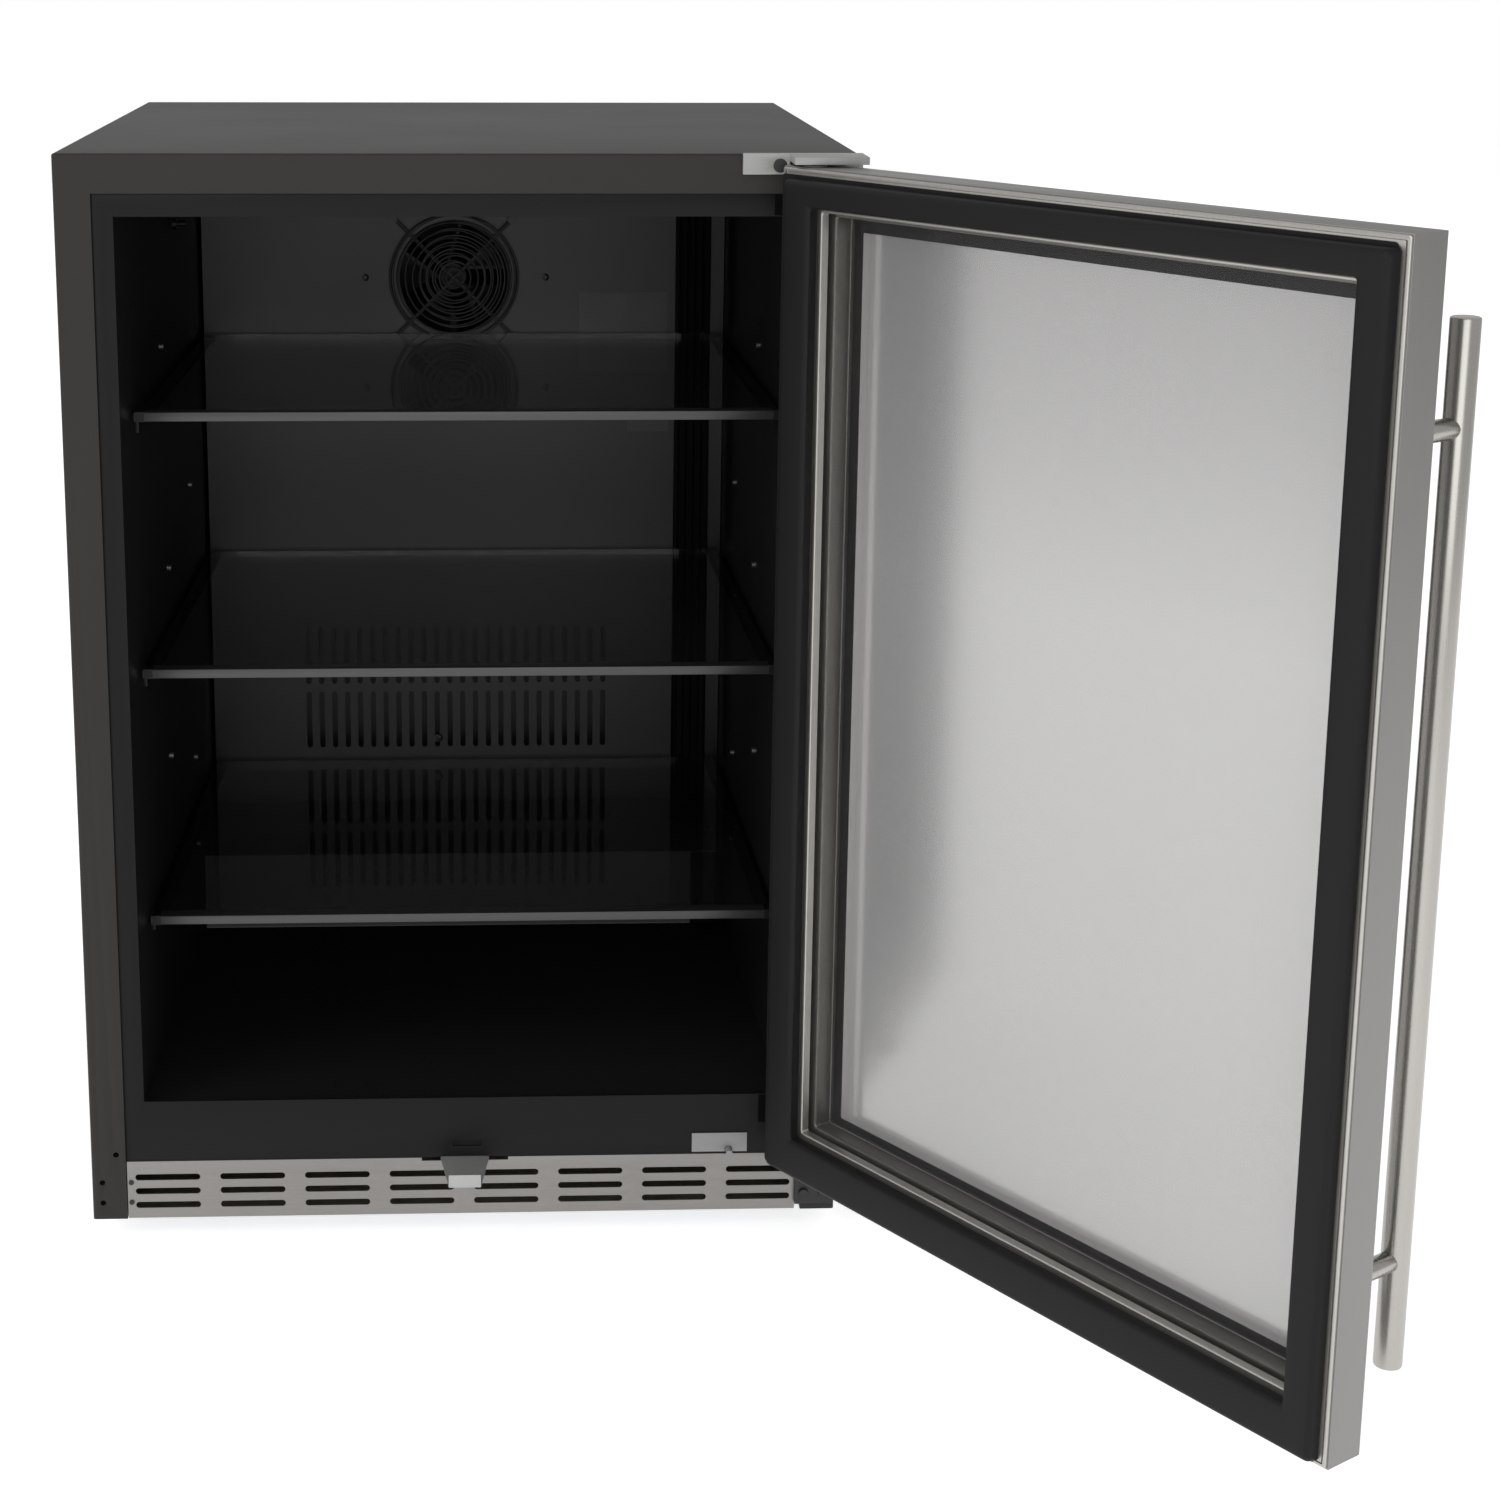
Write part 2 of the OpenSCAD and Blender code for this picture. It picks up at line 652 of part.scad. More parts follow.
module shelf_glass_1() { shelf_glass(1); }
module shelf_glass_2() { shelf_glass(2); }
module shelf_glass_3() { shelf_glass(3); }
module shelf_trim_1() { shelf_trim(1); }
module shelf_trim_2() { shelf_trim(2); }
module shelf_trim_3() { shelf_trim(3); }

// ---------- machine room ----------

grommet_h = 12;

module compressor() {
    color("#161616") place() translate([comp_x, comp_y, pan_t + grommet_h]) {
        rotate_extrude() difference() {
            union() {
                translate([0, 3]) square([comp_r - 14, comp_h]);
                translate([0, 17]) square([comp_r, comp_h - 28]);
                translate([comp_r - 14, 17]) circle(14);
                translate([comp_r - 14, comp_h - 11]) circle(14);
            }
            translate([-30, -5]) square([30, comp_h + 20]);
        }
        span([-75, -48, 0], [75, 48, 3.5]);
    }
}

module compressor_grommets() {
    color("#2d2d2d") place() for (sx = [-1, 1], sy = [-1, 1])
        rod_z([comp_x + sx * 66, comp_y + sy * 38, pan_t], 9, grommet_h);
}

module start_relay() {
    color("#3c3c3c") place()
        span([comp_x + comp_r, comp_y - 26, pan_t + grommet_h + 30],
            [comp_x + comp_r + 30, comp_y + 26, pan_t + grommet_h + 84]);
}

module condenser() {
    color("#8d9196") place() {
        for (i = [0:cond_fins - 1]) span([cond_x, cond_y + 2 + i * cond_pitch, pan_t + 5],
            [cond_x + cond_w, cond_y + 3 + i * cond_pitch, room_z - 14]);
        for (k = [0:3], x = [cond_x + 20, cond_x + 60])
            rod_y([x, cond_y, 26 + k * 32], 4, cond_l);
    }
}

module fan_shroud() {
    color("#2a2c2e") place() difference() {
        span([cond_x + cond_w + 6, room_y + 8, pan_t], [cond_x + cond_w + 9, case_d - 8, room_z - 14]);
        rod_x([cond_x, cond_fan_y, cond_fan_z], cond_fan_r + 2, 120);
    }
}

cond_wheel_h = 18;

module condenser_fan_blade() {
    color("#dcdcd6") place() translate([cond_fan_x, cond_fan_y, cond_fan_z]) rotate([0, 90, 0])
        fan_wheel(cond_fan_r, 14, cond_wheel_h, 5);
}

module condenser_fan_motor() {
    color("#55585c") place() {
        rod_x([cond_fan_x + cond_wheel_h + 6, cond_fan_y, cond_fan_z], 24, 36);
        rod_x([cond_fan_x - 1, cond_fan_y, cond_fan_z], shaft_r, cond_wheel_h + 8);
        span([cond_fan_x + cond_wheel_h + 18, cond_fan_y - 4, pan_t],
            [cond_fan_x + cond_wheel_h + 24, cond_fan_y + 4, cond_fan_z]);
        span([cond_fan_x + cond_wheel_h + 8, cond_fan_y - 22, pan_t],
            [cond_fan_x + cond_wheel_h + 34, cond_fan_y + 22, pan_t + 2]);
    }
}

drier_x = 0;

module filter_drier() {
    color("#b87333") place() {
        rod_z([drier_x, case_d - 40, 45], 9, 70);
        rod_z([drier_x, case_d - 40, 35], 3.2, 90);
    }
}

// A pipe through a list of points, with a ball in each bend
module pipe(pts, r) {
    for (i = [0:len(pts) - 2]) {
        v = pts[i + 1] - pts[i];
        translate(pts[i]) rotate([0, acos(v[2] / norm(v)), atan2(v[1], v[0])])
            cylinder(r = r, h = norm(v), $fn = 32);
    }
    for (i = [1:len(pts) - 2]) translate(pts[i]) sphere(r = r, $fn = 32);
}

pipe_z = room_z - 8;

module refrigerant_pipes() {
    color("#b87333") place() {
        pipe([[comp_x, comp_y, pan_t + grommet_h + comp_h + 3], [comp_x, comp_y, pipe_z],
            [comp_x, case_d - 22, pipe_z], [cond_x + 60, case_d - 22, pipe_z],
            [cond_x + 60, case_d - 22, 122], [cond_x + 60, cond_y + cond_l + fit, 122]], 3);
        pipe([[cond_x + 20, cond_y - fit, 26], [cond_x + 20, room_y + 4, 26],
            [drier_x, room_y + 4, 26], [drier_x, case_d - 40, 26], [drier_x, case_d - 40, 35 - fit]], 2.4);
        pipe([[drier_x, case_d - 40, 125], [drier_x, case_d - 40, room_z]], 2);
    }
}

module drain_pan() {
    color("#303236") place() difference() {
        span([drier_x + 12, room_y + 8, pan_t], [drier_x + 56, case_d - 14, pan_t + 22]);
        span([drier_x + 14, room_y + 10, pan_t + 2], [drier_x + 54, case_d - 16, pan_t + 30]);
    }
}

module power_inlet() {
    color("#101010") place() difference() {
        union() {
            span([inlet_x - 20, case_d - 3 + sheet, inlet_z - 16], [inlet_x + 20, case_d, inlet_z + 16]);
            span([inlet_x - 13.8, case_d - 28, inlet_z - 11.8], [inlet_x + 13.8, case_d - 1, inlet_z + 11.8]);
        }
        span([inlet_x - 11.5, case_d - 18, inlet_z - 8], [inlet_x + 11.5, case_d + 1, inlet_z + 8]);
    }
}

// ---------- door switch, strike and lock ----------

plunger_x = 211.5;
plunger_z = 53;
plunger_r = 2.5;
plunger_clear = 1.6;            // from the shut door's inner face to the plunger's tip
strike_lip = 28;                // how far the lip stands in front of the flange
strike_t = 1.2;
strike_w = 39;
strike_tip_w = 25;

module switch_plate() {
    color("#c4c4c4") place() difference() {
        span([plunger_x - 29.5, 0, grille_h + 2], [plunger_x + 14.8, frame_y, sill_z - 33]);
        rod_y([plunger_x, -1, plunger_z], plunger_r + 0.4, 3);
    }
}

module switch_plunger() {
    color("#a9a9a9") place()
        rod_y([plunger_x, -door_gap + plunger_clear, plunger_z], plunger_r, door_gap + 6);
}

// Tongue that runs under the face frame and slopes forward below the door, narrowing on the
// way, with a lip at its end that the lock's cam drops behind
module lock_strike() {
    color("#b6b6b4") place() intersection() {
        rotate([90, 0, 90]) translate([0, 0, -strike_w]) linear_extrude(2 * strike_w)
            polygon([[5.4, 47.8], [0, 48.4], [-strike_lip, 36.2], [-strike_lip, 47], [-strike_lip + strike_t, 47],
                [-strike_lip + strike_t, 38.2], [0, 49.6], [4.2, 49], [4.2, 60], [5.4, 60]]);
        linear_extrude(100) polygon([[-strike_w / 2, 0], [-strike_w / 2, 6], [strike_w / 2, 6],
            [strike_w / 2, 0], [strike_tip_w / 2, -strike_lip - 1], [-strike_tip_w / 2, -strike_lip - 1]]);
    }
}

module lock_barrel() {
    color("#c8c8c6") hang() difference() {
        union() {
            rod_y([lock_x, hinge_back - door_t - 2, lock_z], lock_r + 2, 2);
            rod_y([lock_x, hinge_back - door_t, lock_z], lock_r, door_t - cam_v - cam_t);
        }
        rod_y([lock_x, hinge_back - door_t - 3, lock_z], 5.5 + run, door_t);
    }
}

// Plug with the keyhole, and the cam behind it
module lock_cam() {
    color("#8f8f8d") hang() difference() {
        union() {
            rod_y([lock_x, hinge_back - door_t - 2.2, lock_z], 5.5, door_t - cam_v - 0.5);
            intersection() {
                rod_y([lock_x, hinge_back - cam_v - cam_t + 0.5, lock_z], cam_l, cam_t - 0.5);
                union() {
                    span([lock_x - cam_l, -door_t, lock_z - 4.5], [lock_x, door_t, lock_z + 4.5]);
                    rod_y([lock_x, -door_t, lock_z], 7, 2 * door_t);
                }
            }
        }
        span([lock_x - 0.6, hinge_back - door_t - 3, lock_z - 3.4],
            [lock_x + 0.6, hinge_back - door_t + 6, lock_z + 3.4]);
    }
}

// ---------- hinges ----------

hinge_plate_t = 5;
arm_t = 6;
arm_gap = 1.5;
arm_reach = 14;
low_arm_t = 3.5;

module top_hinge() {
    z0 = door_z1 + arm_gap;
    color("#bdbdbb") place() difference() {
        union() {
            span([pivot_x - 51, -hinge_plate_t, case_h - 15], [pivot_x - 16, 0, z0 + arm_t]);
            span([pivot_x - 16.5, pivot_y - arm_reach, z0 + 0.5], [pivot_x + 38, 0, z0 + arm_t]);
            span([pivot_x + 24.5, -hinge_plate_t, case_h - 15], [pivot_x + 38, 0, z0 + arm_t]);
            rod_z([pivot_x, pivot_y, door_z1 - 13], pin_r, 17);
        }
        rod_y([pivot_x - 23.3, -hinge_plate_t - 1, case_h - 8.5], 5.2, 3);
    }
}

module bottom_hinge() {
    z1 = door_z0 - arm_gap;
    color("#1b1b1b") place() difference() {
        union() {
            span([pivot_x - 9, pivot_y, z1 - low_arm_t], [pivot_x + 35, 0, z1]);
            rod_z([pivot_x, pivot_y, z1 - low_arm_t], 9, low_arm_t);
            span([pivot_x + 4, -3, 6], [pivot_x + 35, 0, z1]);
            rod_z([pivot_x, pivot_y, z1 - 2], pin_r, 16);
        }
        for (p = screw_holes) rod_y([p[0], -4, p[1]], spare_r, 5);
    }
}

module hinge_screws() {
    color("#2a2523") place() {
        rod_y([pivot_x - 23.3, -hinge_plate_t + 0.4, case_h - 8.5], 5.1, 1.6);
        for (p = screw_holes) {
            rod_y([p[0], -4.4, p[1]], 3.8, 1.4);
            rod_y([p[0], -3, p[1]], spare_r - 0.2, 10);
        }
    }
}

module hinge_bushes() {
    color("#e4e4e0") hang() difference() {
        union() {
            rod_z([0, 0, door_z0], bush_r, 14);
            rod_z([0, 0, door_z0 - 1], 9, 1);
            rod_z([0, 0, door_z1 - 14], bush_r, 14);
            rod_z([0, 0, door_z1], 9, 1);
        }
        rod_z([0, 0, door_z0 - 2], pin_r + run, door_h + 4);
    }
}

// ---------- door ----------

skin_t = 1.2;
bush_r = 7;
skin_r = 3;
skin_v = 2;                       // the skin's sides start this far behind the inner face
door_mid = hinge_in - door_w / 2;
glass_v1 = door_t - skin_t - pane_seat;         // front of the outer pane

// A slab of the door between two depths below its inner face, inset from its edges
module slab(v0, v1, inset) {
    span([hinge_in - door_w + inset, hinge_back - v1, door_z0 + inset],
        [hinge_in - inset, hinge_back - v0, door_z1 - inset]);
}

// A block as large as the window, grown by g
module window(v0, v1, g) {
    span([win_x0 - g, hinge_back - v1, win_z0 - g], [win_x1 + g, hinge_back - v0, win_z1 + g]);
}

// Room for the lock's cam, and its way out through the door's lower edge
module cam_room() {
    span([lock_x - cam_l - 2, hinge_back - cam_v - cam_t - 1, door_z0 - 2],
        [lock_x + 8, hinge_back - cam_v + 1, lock_z + 9]);
}

module door_skin() {
    color("#a3a19d") hang() difference() {
        translate([door_mid, hinge_back - door_t, door_z0]) linear_extrude(door_h)
            round_front(door_w, door_t - skin_v, skin_r);
        slab(-1, door_t - skin_t, skin_t);
        window(door_t - 5, door_t + 1, 0);
        rod_z([0, 0, door_z0 - 5], bush_r + 0.1, door_h + 10);
        rod_y([lock_x, hinge_back - door_t - 3, lock_z], lock_r + 0.1, 8);
        cam_room();
    }
}

module door_frame() {
    color("#b0aeaa") hang() difference() {
        union() {
            slab(0, frame_plate, 0.8);
            window(0.5, pane_v, 1.5);
        }
        window(-1, pane_v + 1, 0);
        difference() {
            window(-1, 1.2, 7);
            window(-2, 2, 3);
        }
        rod_z([0, 0, door_z0 - 5], bush_r + 0.1, door_h + 10);
        cam_room();
    }
}

module door_foam() {
    color("#d8cba0") hang() difference() {
        slab(frame_plate, door_t - skin_t, skin_t);
        window(0, glass_v1, pane_lap);
        window(0, door_t + 1, 2);
        rod_z([0, 0, door_z0 - 5], bush_r + 0.1, door_h + 10);
        rod_y([lock_x, hinge_back - door_t - 3, lock_z], lock_r + 0.1, door_t + 4);
        cam_room();
    }
}

module inner_glass() {
    color([0.75, 0.78, 0.78, 0.4]) hang() window(pane_v, pane_v + pane_t, pane_lap - fit);
}

module outer_glass() {
    color([0.65, 0.68, 0.68, 0.6]) hang() window(glass_v1 - pane_t, glass_v1, pane_lap - fit);
}

module glass_spacer() {
    color("#9c9c9a") hang() difference() {
        window(pane_v + pane_t, glass_v1 - pane_t, pane_lap - 2);
        window(0, door_t, -spacer_lip);
    }
}

// Soft gasket: a frame with its outer edges rounded all round, and a thin fin that covers more
// of the door's frame along the hinged, the lower and the upper edge
module door_gasket() {
    x0 = hinge_in - door_w + gasket_free;
    x1 = hinge_in - gasket_hinge;
    z0 = door_z0 + gasket_low;
    z1 = door_z1 - gasket_high;
    crest = hinge_back + gasket_base + gasket_t;
    edge_r = min(gasket_r, gasket_t / 2);
    color("#2f2f2f") hang() difference() {
        union() {
            intersection() {
                translate([(x0 + x1) / 2, crest, z0]) mirror([0, 1, 0])
                    linear_extrude(z1 - z0) round_front(x1 - x0, gasket_t, edge_r);
                translate([x0, crest, (z0 + z1) / 2]) rotate([0, 90, 0])
                    linear_extrude(x1 - x0) mirror([0, 1]) round_front(z1 - z0, gasket_t, edge_r);
            }
            span([x0 + 2, hinge_back + gasket_base, door_z0 + fin_edge],
                [hinge_in - fin_edge, hinge_back + gasket_base + fin_t, door_z1 - fin_high]);
        }
        span([x0 + gasket_free_w, 0, z0 + gasket_low_w],
            [x1 - gasket_hinge_w, door_t, z1 - gasket_high_w]);
        rod_z([0, 0, door_z0 - 5], 9.5, door_h + 10);
        cam_room();
    }
}
fin_t = 0.8;
fin_edge = 1.5;                   // inset of the fin at the hinged and the lower edge
fin_high = 5.5;                   // inset of the fin at the upper edge

bar_x = hinge_in - door_w + bar_in;
bar_y = hinge_back - door_t - bar_out;
bar_l = door_h - bar_low - bar_high;
bar_z = door_z0 + bar_low;                      // lower end of the bar

module handle_bar() {
    color("#b4b2ae") hang() rod_z([bar_x, bar_y, bar_z], bar_r, bar_l);
}

module handle_posts() {
    color("#a8a6a2") hang() for (z = [bar_z + post_low, bar_z + bar_l - post_high]) difference() {
        rod_y([bar_x, bar_y, z], post_r, bar_out - fit);
        rod_z([bar_x, bar_y, bar_z - 1], bar_r + 0.05, bar_l + 2);
    }
}

// ---------- every node, one line each ----------

outer_case();
rear_panel();
rear_cover();
base_pan();
foam_body();
inner_liner();
face_frame();
corner_caps();
toe_grille();
grille_screws();
levelling_feet();
evaporator();
evaporator_cover();
cover_screws();
fan_guard();
evap_fan_motor();
evap_fan_blade();
wire_duct();
label_plates();
thermostat_box();
thermostat_knob();
temp_probe();
lamp_lens();
shelf_rails();
shelf_pins();
shelf_glass_1();
shelf_glass_2();
shelf_glass_3();
shelf_trim_1();
shelf_trim_2();
shelf_trim_3();
compressor();
compressor_grommets();
start_relay();
condenser();
fan_shroud();
condenser_fan_motor();
condenser_fan_blade();
filter_drier();
refrigerant_pipes();
drain_pan();
power_inlet();
lock_strike();
lock_barrel();
lock_cam();
switch_plate();
switch_plunger();
top_hinge();
bottom_hinge();
hinge_screws();
door_skin();
door_frame();
door_foam();
inner_glass();
glass_spacer();
outer_glass();
door_gasket();
handle_bar();
handle_posts();
hinge_bushes();
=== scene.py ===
# %% [markdown]
# ## Undercounter refrigerator
# The CAD model already holds every piece at its real size and place. This lesson dresses it:
# a camera, soft lights, a finish for each kind of surface, and finer versions of the pieces
# that are seen close up. Everything is in metres, with the floor at z = 0 and the open front
# facing -Y.

# %% The frame
import json
from math import cos, pi, radians, sin

import bmesh
import bpy
from mathutils import Matrix, Vector


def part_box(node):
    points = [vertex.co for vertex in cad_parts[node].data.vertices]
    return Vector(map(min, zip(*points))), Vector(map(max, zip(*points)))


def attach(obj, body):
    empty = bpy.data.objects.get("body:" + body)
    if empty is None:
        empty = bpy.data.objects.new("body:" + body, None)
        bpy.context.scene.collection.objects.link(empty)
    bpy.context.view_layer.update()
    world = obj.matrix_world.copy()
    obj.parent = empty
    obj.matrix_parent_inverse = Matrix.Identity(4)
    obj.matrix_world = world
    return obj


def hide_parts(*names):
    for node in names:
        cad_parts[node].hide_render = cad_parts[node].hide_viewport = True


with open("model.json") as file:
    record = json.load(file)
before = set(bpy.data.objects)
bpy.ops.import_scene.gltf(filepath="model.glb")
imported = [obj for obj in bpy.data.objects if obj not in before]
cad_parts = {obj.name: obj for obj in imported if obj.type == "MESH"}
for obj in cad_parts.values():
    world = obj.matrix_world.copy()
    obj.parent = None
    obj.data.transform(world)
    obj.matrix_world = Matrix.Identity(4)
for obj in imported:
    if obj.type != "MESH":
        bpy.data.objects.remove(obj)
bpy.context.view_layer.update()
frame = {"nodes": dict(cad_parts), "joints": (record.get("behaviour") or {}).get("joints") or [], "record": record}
case_lo, case_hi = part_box("outer_case")
print("case", [round(b - a, 4) for a, b in zip(case_lo, case_hi)])

# %% [markdown]
# ## Camera
# A catalogue picture of a low cabinet is taken from about a metre above the floor, a little
# more than two metres away. The lens is long, so the uprights stay nearly parallel, and a lens
# shift slides the frame over without turning the camera.

# %% Camera
lens = bpy.data.cameras.new("catalogue_camera")
lens.lens = 66.04
lens.sensor_width = 36.0
lens.shift_x = 0.1046
lens.shift_y = -0.1273
camera = bpy.data.objects.new("catalogue_camera", lens)
bpy.context.scene.collection.objects.link(camera)
eye = (0.01699, -2.3426, 1.0284)
turn = (
    Matrix.Rotation(radians(-2.353), 4, "Z")
    @ Matrix.Rotation(radians(90 - 12.954), 4, "X")
    @ Matrix.Rotation(radians(0.214), 4, "Z")
)
camera.matrix_world = Matrix.Translation(eye) @ turn
bpy.context.scene.camera = camera
print("camera at", [round(v, 3) for v in camera.location])

# %% [markdown]
# ## Studio
# The floor and the sky are white, as in a studio tent, and the picture is developed plainly
# so that white stays white. A large soft lamp stands at the left, one hangs above, and a low
# weak one in front reaches into the cold room. The sky a ray of light sees is dimmer than the
# one the camera sees, so that dark plastic stays dark.


# %% Floor and lights
def aim(obj, target):
    """Turn a lamp so that it shines at target."""
    way = Vector(target) - obj.location
    obj.rotation_euler = way.to_track_quat("-Z", "Y").to_euler()


def soft_lamp(name, place, target, width, height, watts):
    """A rectangular softbox."""
    data = bpy.data.lights.new(name, "AREA")
    data.shape = "RECTANGLE"
    data.size = width
    data.size_y = height
    data.energy = watts
    lamp = bpy.data.objects.new(name, data)
    lamp.location = place
    bpy.context.scene.collection.objects.link(lamp)
    aim(lamp, target)
    return lamp


soft_lamp("key_softbox", (-2.4, -2.2, 2.2), (0.1, 0, 0.5), 1.8, 1.8, 30)
soft_lamp("top_softbox", (0.2, 0.2, 2.8), (0, 0, 0.8), 2.4, 2.0, 2)
soft_lamp("front_softbox", (0.2, -3.2, 1.2), (0, 0, 0.4), 2.0, 1.2, 12)

bpy.context.scene.view_settings.view_transform = "Standard"
world = bpy.data.worlds.new("studio_tent")
world.use_nodes = True
sky_nodes, sky_links = world.node_tree.nodes, world.node_tree.links
sky = sky_nodes["Background"]
sky.inputs["Color"].default_value = (1.0, 1.0, 1.0, 1.0)
seen_or_lit = sky_nodes.new("ShaderNodeLightPath")
level = sky_nodes.new("ShaderNodeMapRange")
level.inputs["To Min"].default_value = 0.60
level.inputs["To Max"].default_value = 1.0
sky_links.new(seen_or_lit.outputs["Is Camera Ray"], level.inputs["Value"])
sky_links.new(level.outputs["Result"], sky.inputs["Strength"])
bpy.context.scene.world = world

floor_mesh = bpy.data.meshes.new("studio_floor")
floor_mesh.from_pydata([(-9, -9, 0), (9, -9, 0), (9, 9, 0), (-9, 9, 0)], [], [(0, 1, 2, 3)])
studio_floor = bpy.data.objects.new("studio_floor", floor_mesh)
bpy.context.scene.collection.objects.link(studio_floor)
print("lights", len(bpy.data.lights))

# %% [markdown]
# ## Finishes
# Every finish is built the same way. A slow noise varies the colour and the gloss a little, as
# handling and manufacture do, and a fine noise gives it a slight relief. The grain of brushed
# steel is the fine noise stretched along one direction.


# %% A finish from noise
def finish(name, colour, rough, metal=0.0, tone=0.06, tone_size=6.0, grain=900.0, bump=0.05,
           stretch=(1, 1, 1), rough_span=0.08, **sockets):
    """A material whose colour, gloss and relief come from two noises on Object coordinates."""
    mat = bpy.data.materials.new(name)
    mat.use_nodes = True
    nodes, links = mat.node_tree.nodes, mat.node_tree.links
    shader = nodes["Principled BSDF"]
    shader.inputs["Metallic"].default_value = metal
    for socket, value in sockets.items():
        shader.inputs[socket.replace("_", " ")].default_value = value
    where = nodes.new("ShaderNodeTexCoord")
    place = nodes.new("ShaderNodeMapping")
    place.vector_type = "TEXTURE"
    place.inputs["Scale"].default_value = stretch
    links.new(where.outputs["Object"], place.inputs["Vector"])
    slow = nodes.new("ShaderNodeTexNoise")
    slow.inputs["Scale"].default_value = tone_size
    slow.inputs["Detail"].default_value = 3.0
    links.new(where.outputs["Object"], slow.inputs["Vector"])
    fine = nodes.new("ShaderNodeTexNoise")
    fine.inputs["Scale"].default_value = grain
    fine.inputs["Detail"].default_value = 2.0
    links.new(place.outputs["Vector"], fine.inputs["Vector"])
    both = nodes.new("ShaderNodeMath")
    both.operation = "ADD"
    links.new(slow.outputs["Fac"], both.inputs[0])
    links.new(fine.outputs["Fac"], both.inputs[1])
    half = nodes.new("ShaderNodeMath")
    half.operation = "MULTIPLY"
    half.inputs[1].default_value = 0.5
    links.new(both.outputs[0], half.inputs[0])
    ramp = nodes.new("ShaderNodeValToRGB")
    ramp.color_ramp.elements[0].position = 0.25
    ramp.color_ramp.elements[1].position = 0.75
    ramp.color_ramp.elements[0].color = [c * (1 - tone) for c in colour] + [1]
    ramp.color_ramp.elements[1].color = [min(c * (1 + tone), 1) for c in colour] + [1]
    links.new(half.outputs[0], ramp.inputs["Fac"])
    links.new(ramp.outputs["Color"], shader.inputs["Base Color"])
    gloss = nodes.new("ShaderNodeMapRange")
    gloss.inputs["From Min"].default_value = 0.3
    gloss.inputs["From Max"].default_value = 0.7
    gloss.inputs["To Min"].default_value = max(rough - rough_span / 2, 0.0)
    gloss.inputs["To Max"].default_value = rough + rough_span / 2
    links.new(half.outputs[0], gloss.inputs["Value"])
    links.new(gloss.outputs["Result"], shader.inputs["Roughness"])
    if bump:
        relief = nodes.new("ShaderNodeBump")
        relief.inputs["Strength"].default_value = bump
        relief.inputs["Distance"].default_value = 0.0004
        links.new(fine.outputs["Fac"], relief.inputs["Height"])
        links.new(relief.outputs["Normal"], shader.inputs["Normal"])
    return mat


# %% [markdown]
# ### Steel, aluminium and copper
# The case is painted steel with a fine orange peel. The grille, door skin and handle are
# stainless steel, brushed along their length, so their noise is stretched that way.

# %% Metals
along_x = (60, 1, 1)
along_z = (1, 1, 60)
paint_case = finish("case_paint", (0.023, 0.0215, 0.0195), 0.50, tone=0.10, grain=1100, bump=0.12,
                    Specular_IOR_Level=0.22)
zinc = finish("zinc_sheet", (0.36, 0.37, 0.38), 0.45, metal=0.9, tone=0.22, tone_size=40,
              bump=0.05)
steel_grille = finish("brushed_grille", (0.265, 0.255, 0.245), 0.42, metal=0.85, tone=0.10,
                      grain=1500, bump=0.10, stretch=along_x)
steel_door = finish("brushed_door", (0.265, 0.262, 0.255), 0.46, metal=0.85, tone=0.06, grain=1500,
                    bump=0.08, stretch=along_z)
steel_bar = finish("polished_bar", (0.42, 0.405, 0.38), 0.27, metal=1.0, tone=0.06, grain=1500,
                   bump=0.05, stretch=along_z)
steel_bright = finish("bright_strike", (0.42, 0.42, 0.41), 0.36, metal=0.6, tone=0.06, bump=0.05)
alu_frame = finish("frame_aluminium", (0.46, 0.45, 0.42), 0.34, metal=0.9, tone=0.10, grain=900,
                   bump=0.06, stretch=along_z)
alu_trim = finish("trim_aluminium", (0.075, 0.075, 0.075), 0.38, metal=0.8, tone=0.08, grain=1500,
                  bump=0.05, stretch=along_x)
coated_fin = finish("coated_fins", (0.010, 0.010, 0.011), 0.5, tone=0.2, bump=0.04)
alu_fin = finish("bare_fins", (0.72, 0.73, 0.74), 0.38, metal=1.0, tone=0.10, bump=0.04)
alu_spacer = finish("spacer_bar", (0.20, 0.195, 0.18), 0.40, metal=0.8, tone=0.18, grain=700,
                    bump=0.2)
copper = finish("drawn_copper", (0.80, 0.42, 0.26), 0.28, metal=1.0, tone=0.18, tone_size=30,
                bump=0.03)
motor_paint = finish("motor_steel", (0.20, 0.205, 0.21), 0.4, metal=0.6, tone=0.1, bump=0.05)
black_steel = finish("black_steel", (0.006, 0.006, 0.006), 0.42, tone=0.15, grain=900, bump=0.1)
grey_steel = finish("hinge_steel", (0.30, 0.30, 0.29), 0.42, metal=0.3, tone=0.06, bump=0.05)
bright_screw = finish("bright_screw", (0.60, 0.60, 0.60), 0.2, metal=1.0, tone=0.06, bump=0.03)
dull_stud = finish("dull_stud", (0.16, 0.16, 0.16), 0.4, metal=0.8, tone=0.06, bump=0.03)
print("metals", len(bpy.data.materials))

# %% [markdown]
# ### Plastics, rubber, foam and glass
# The liner is vacuum formed and slightly glossy. Glass is a clear shell with a faint tone, and
# the door's outer pane carries the coating that makes it look like a pale mirror.

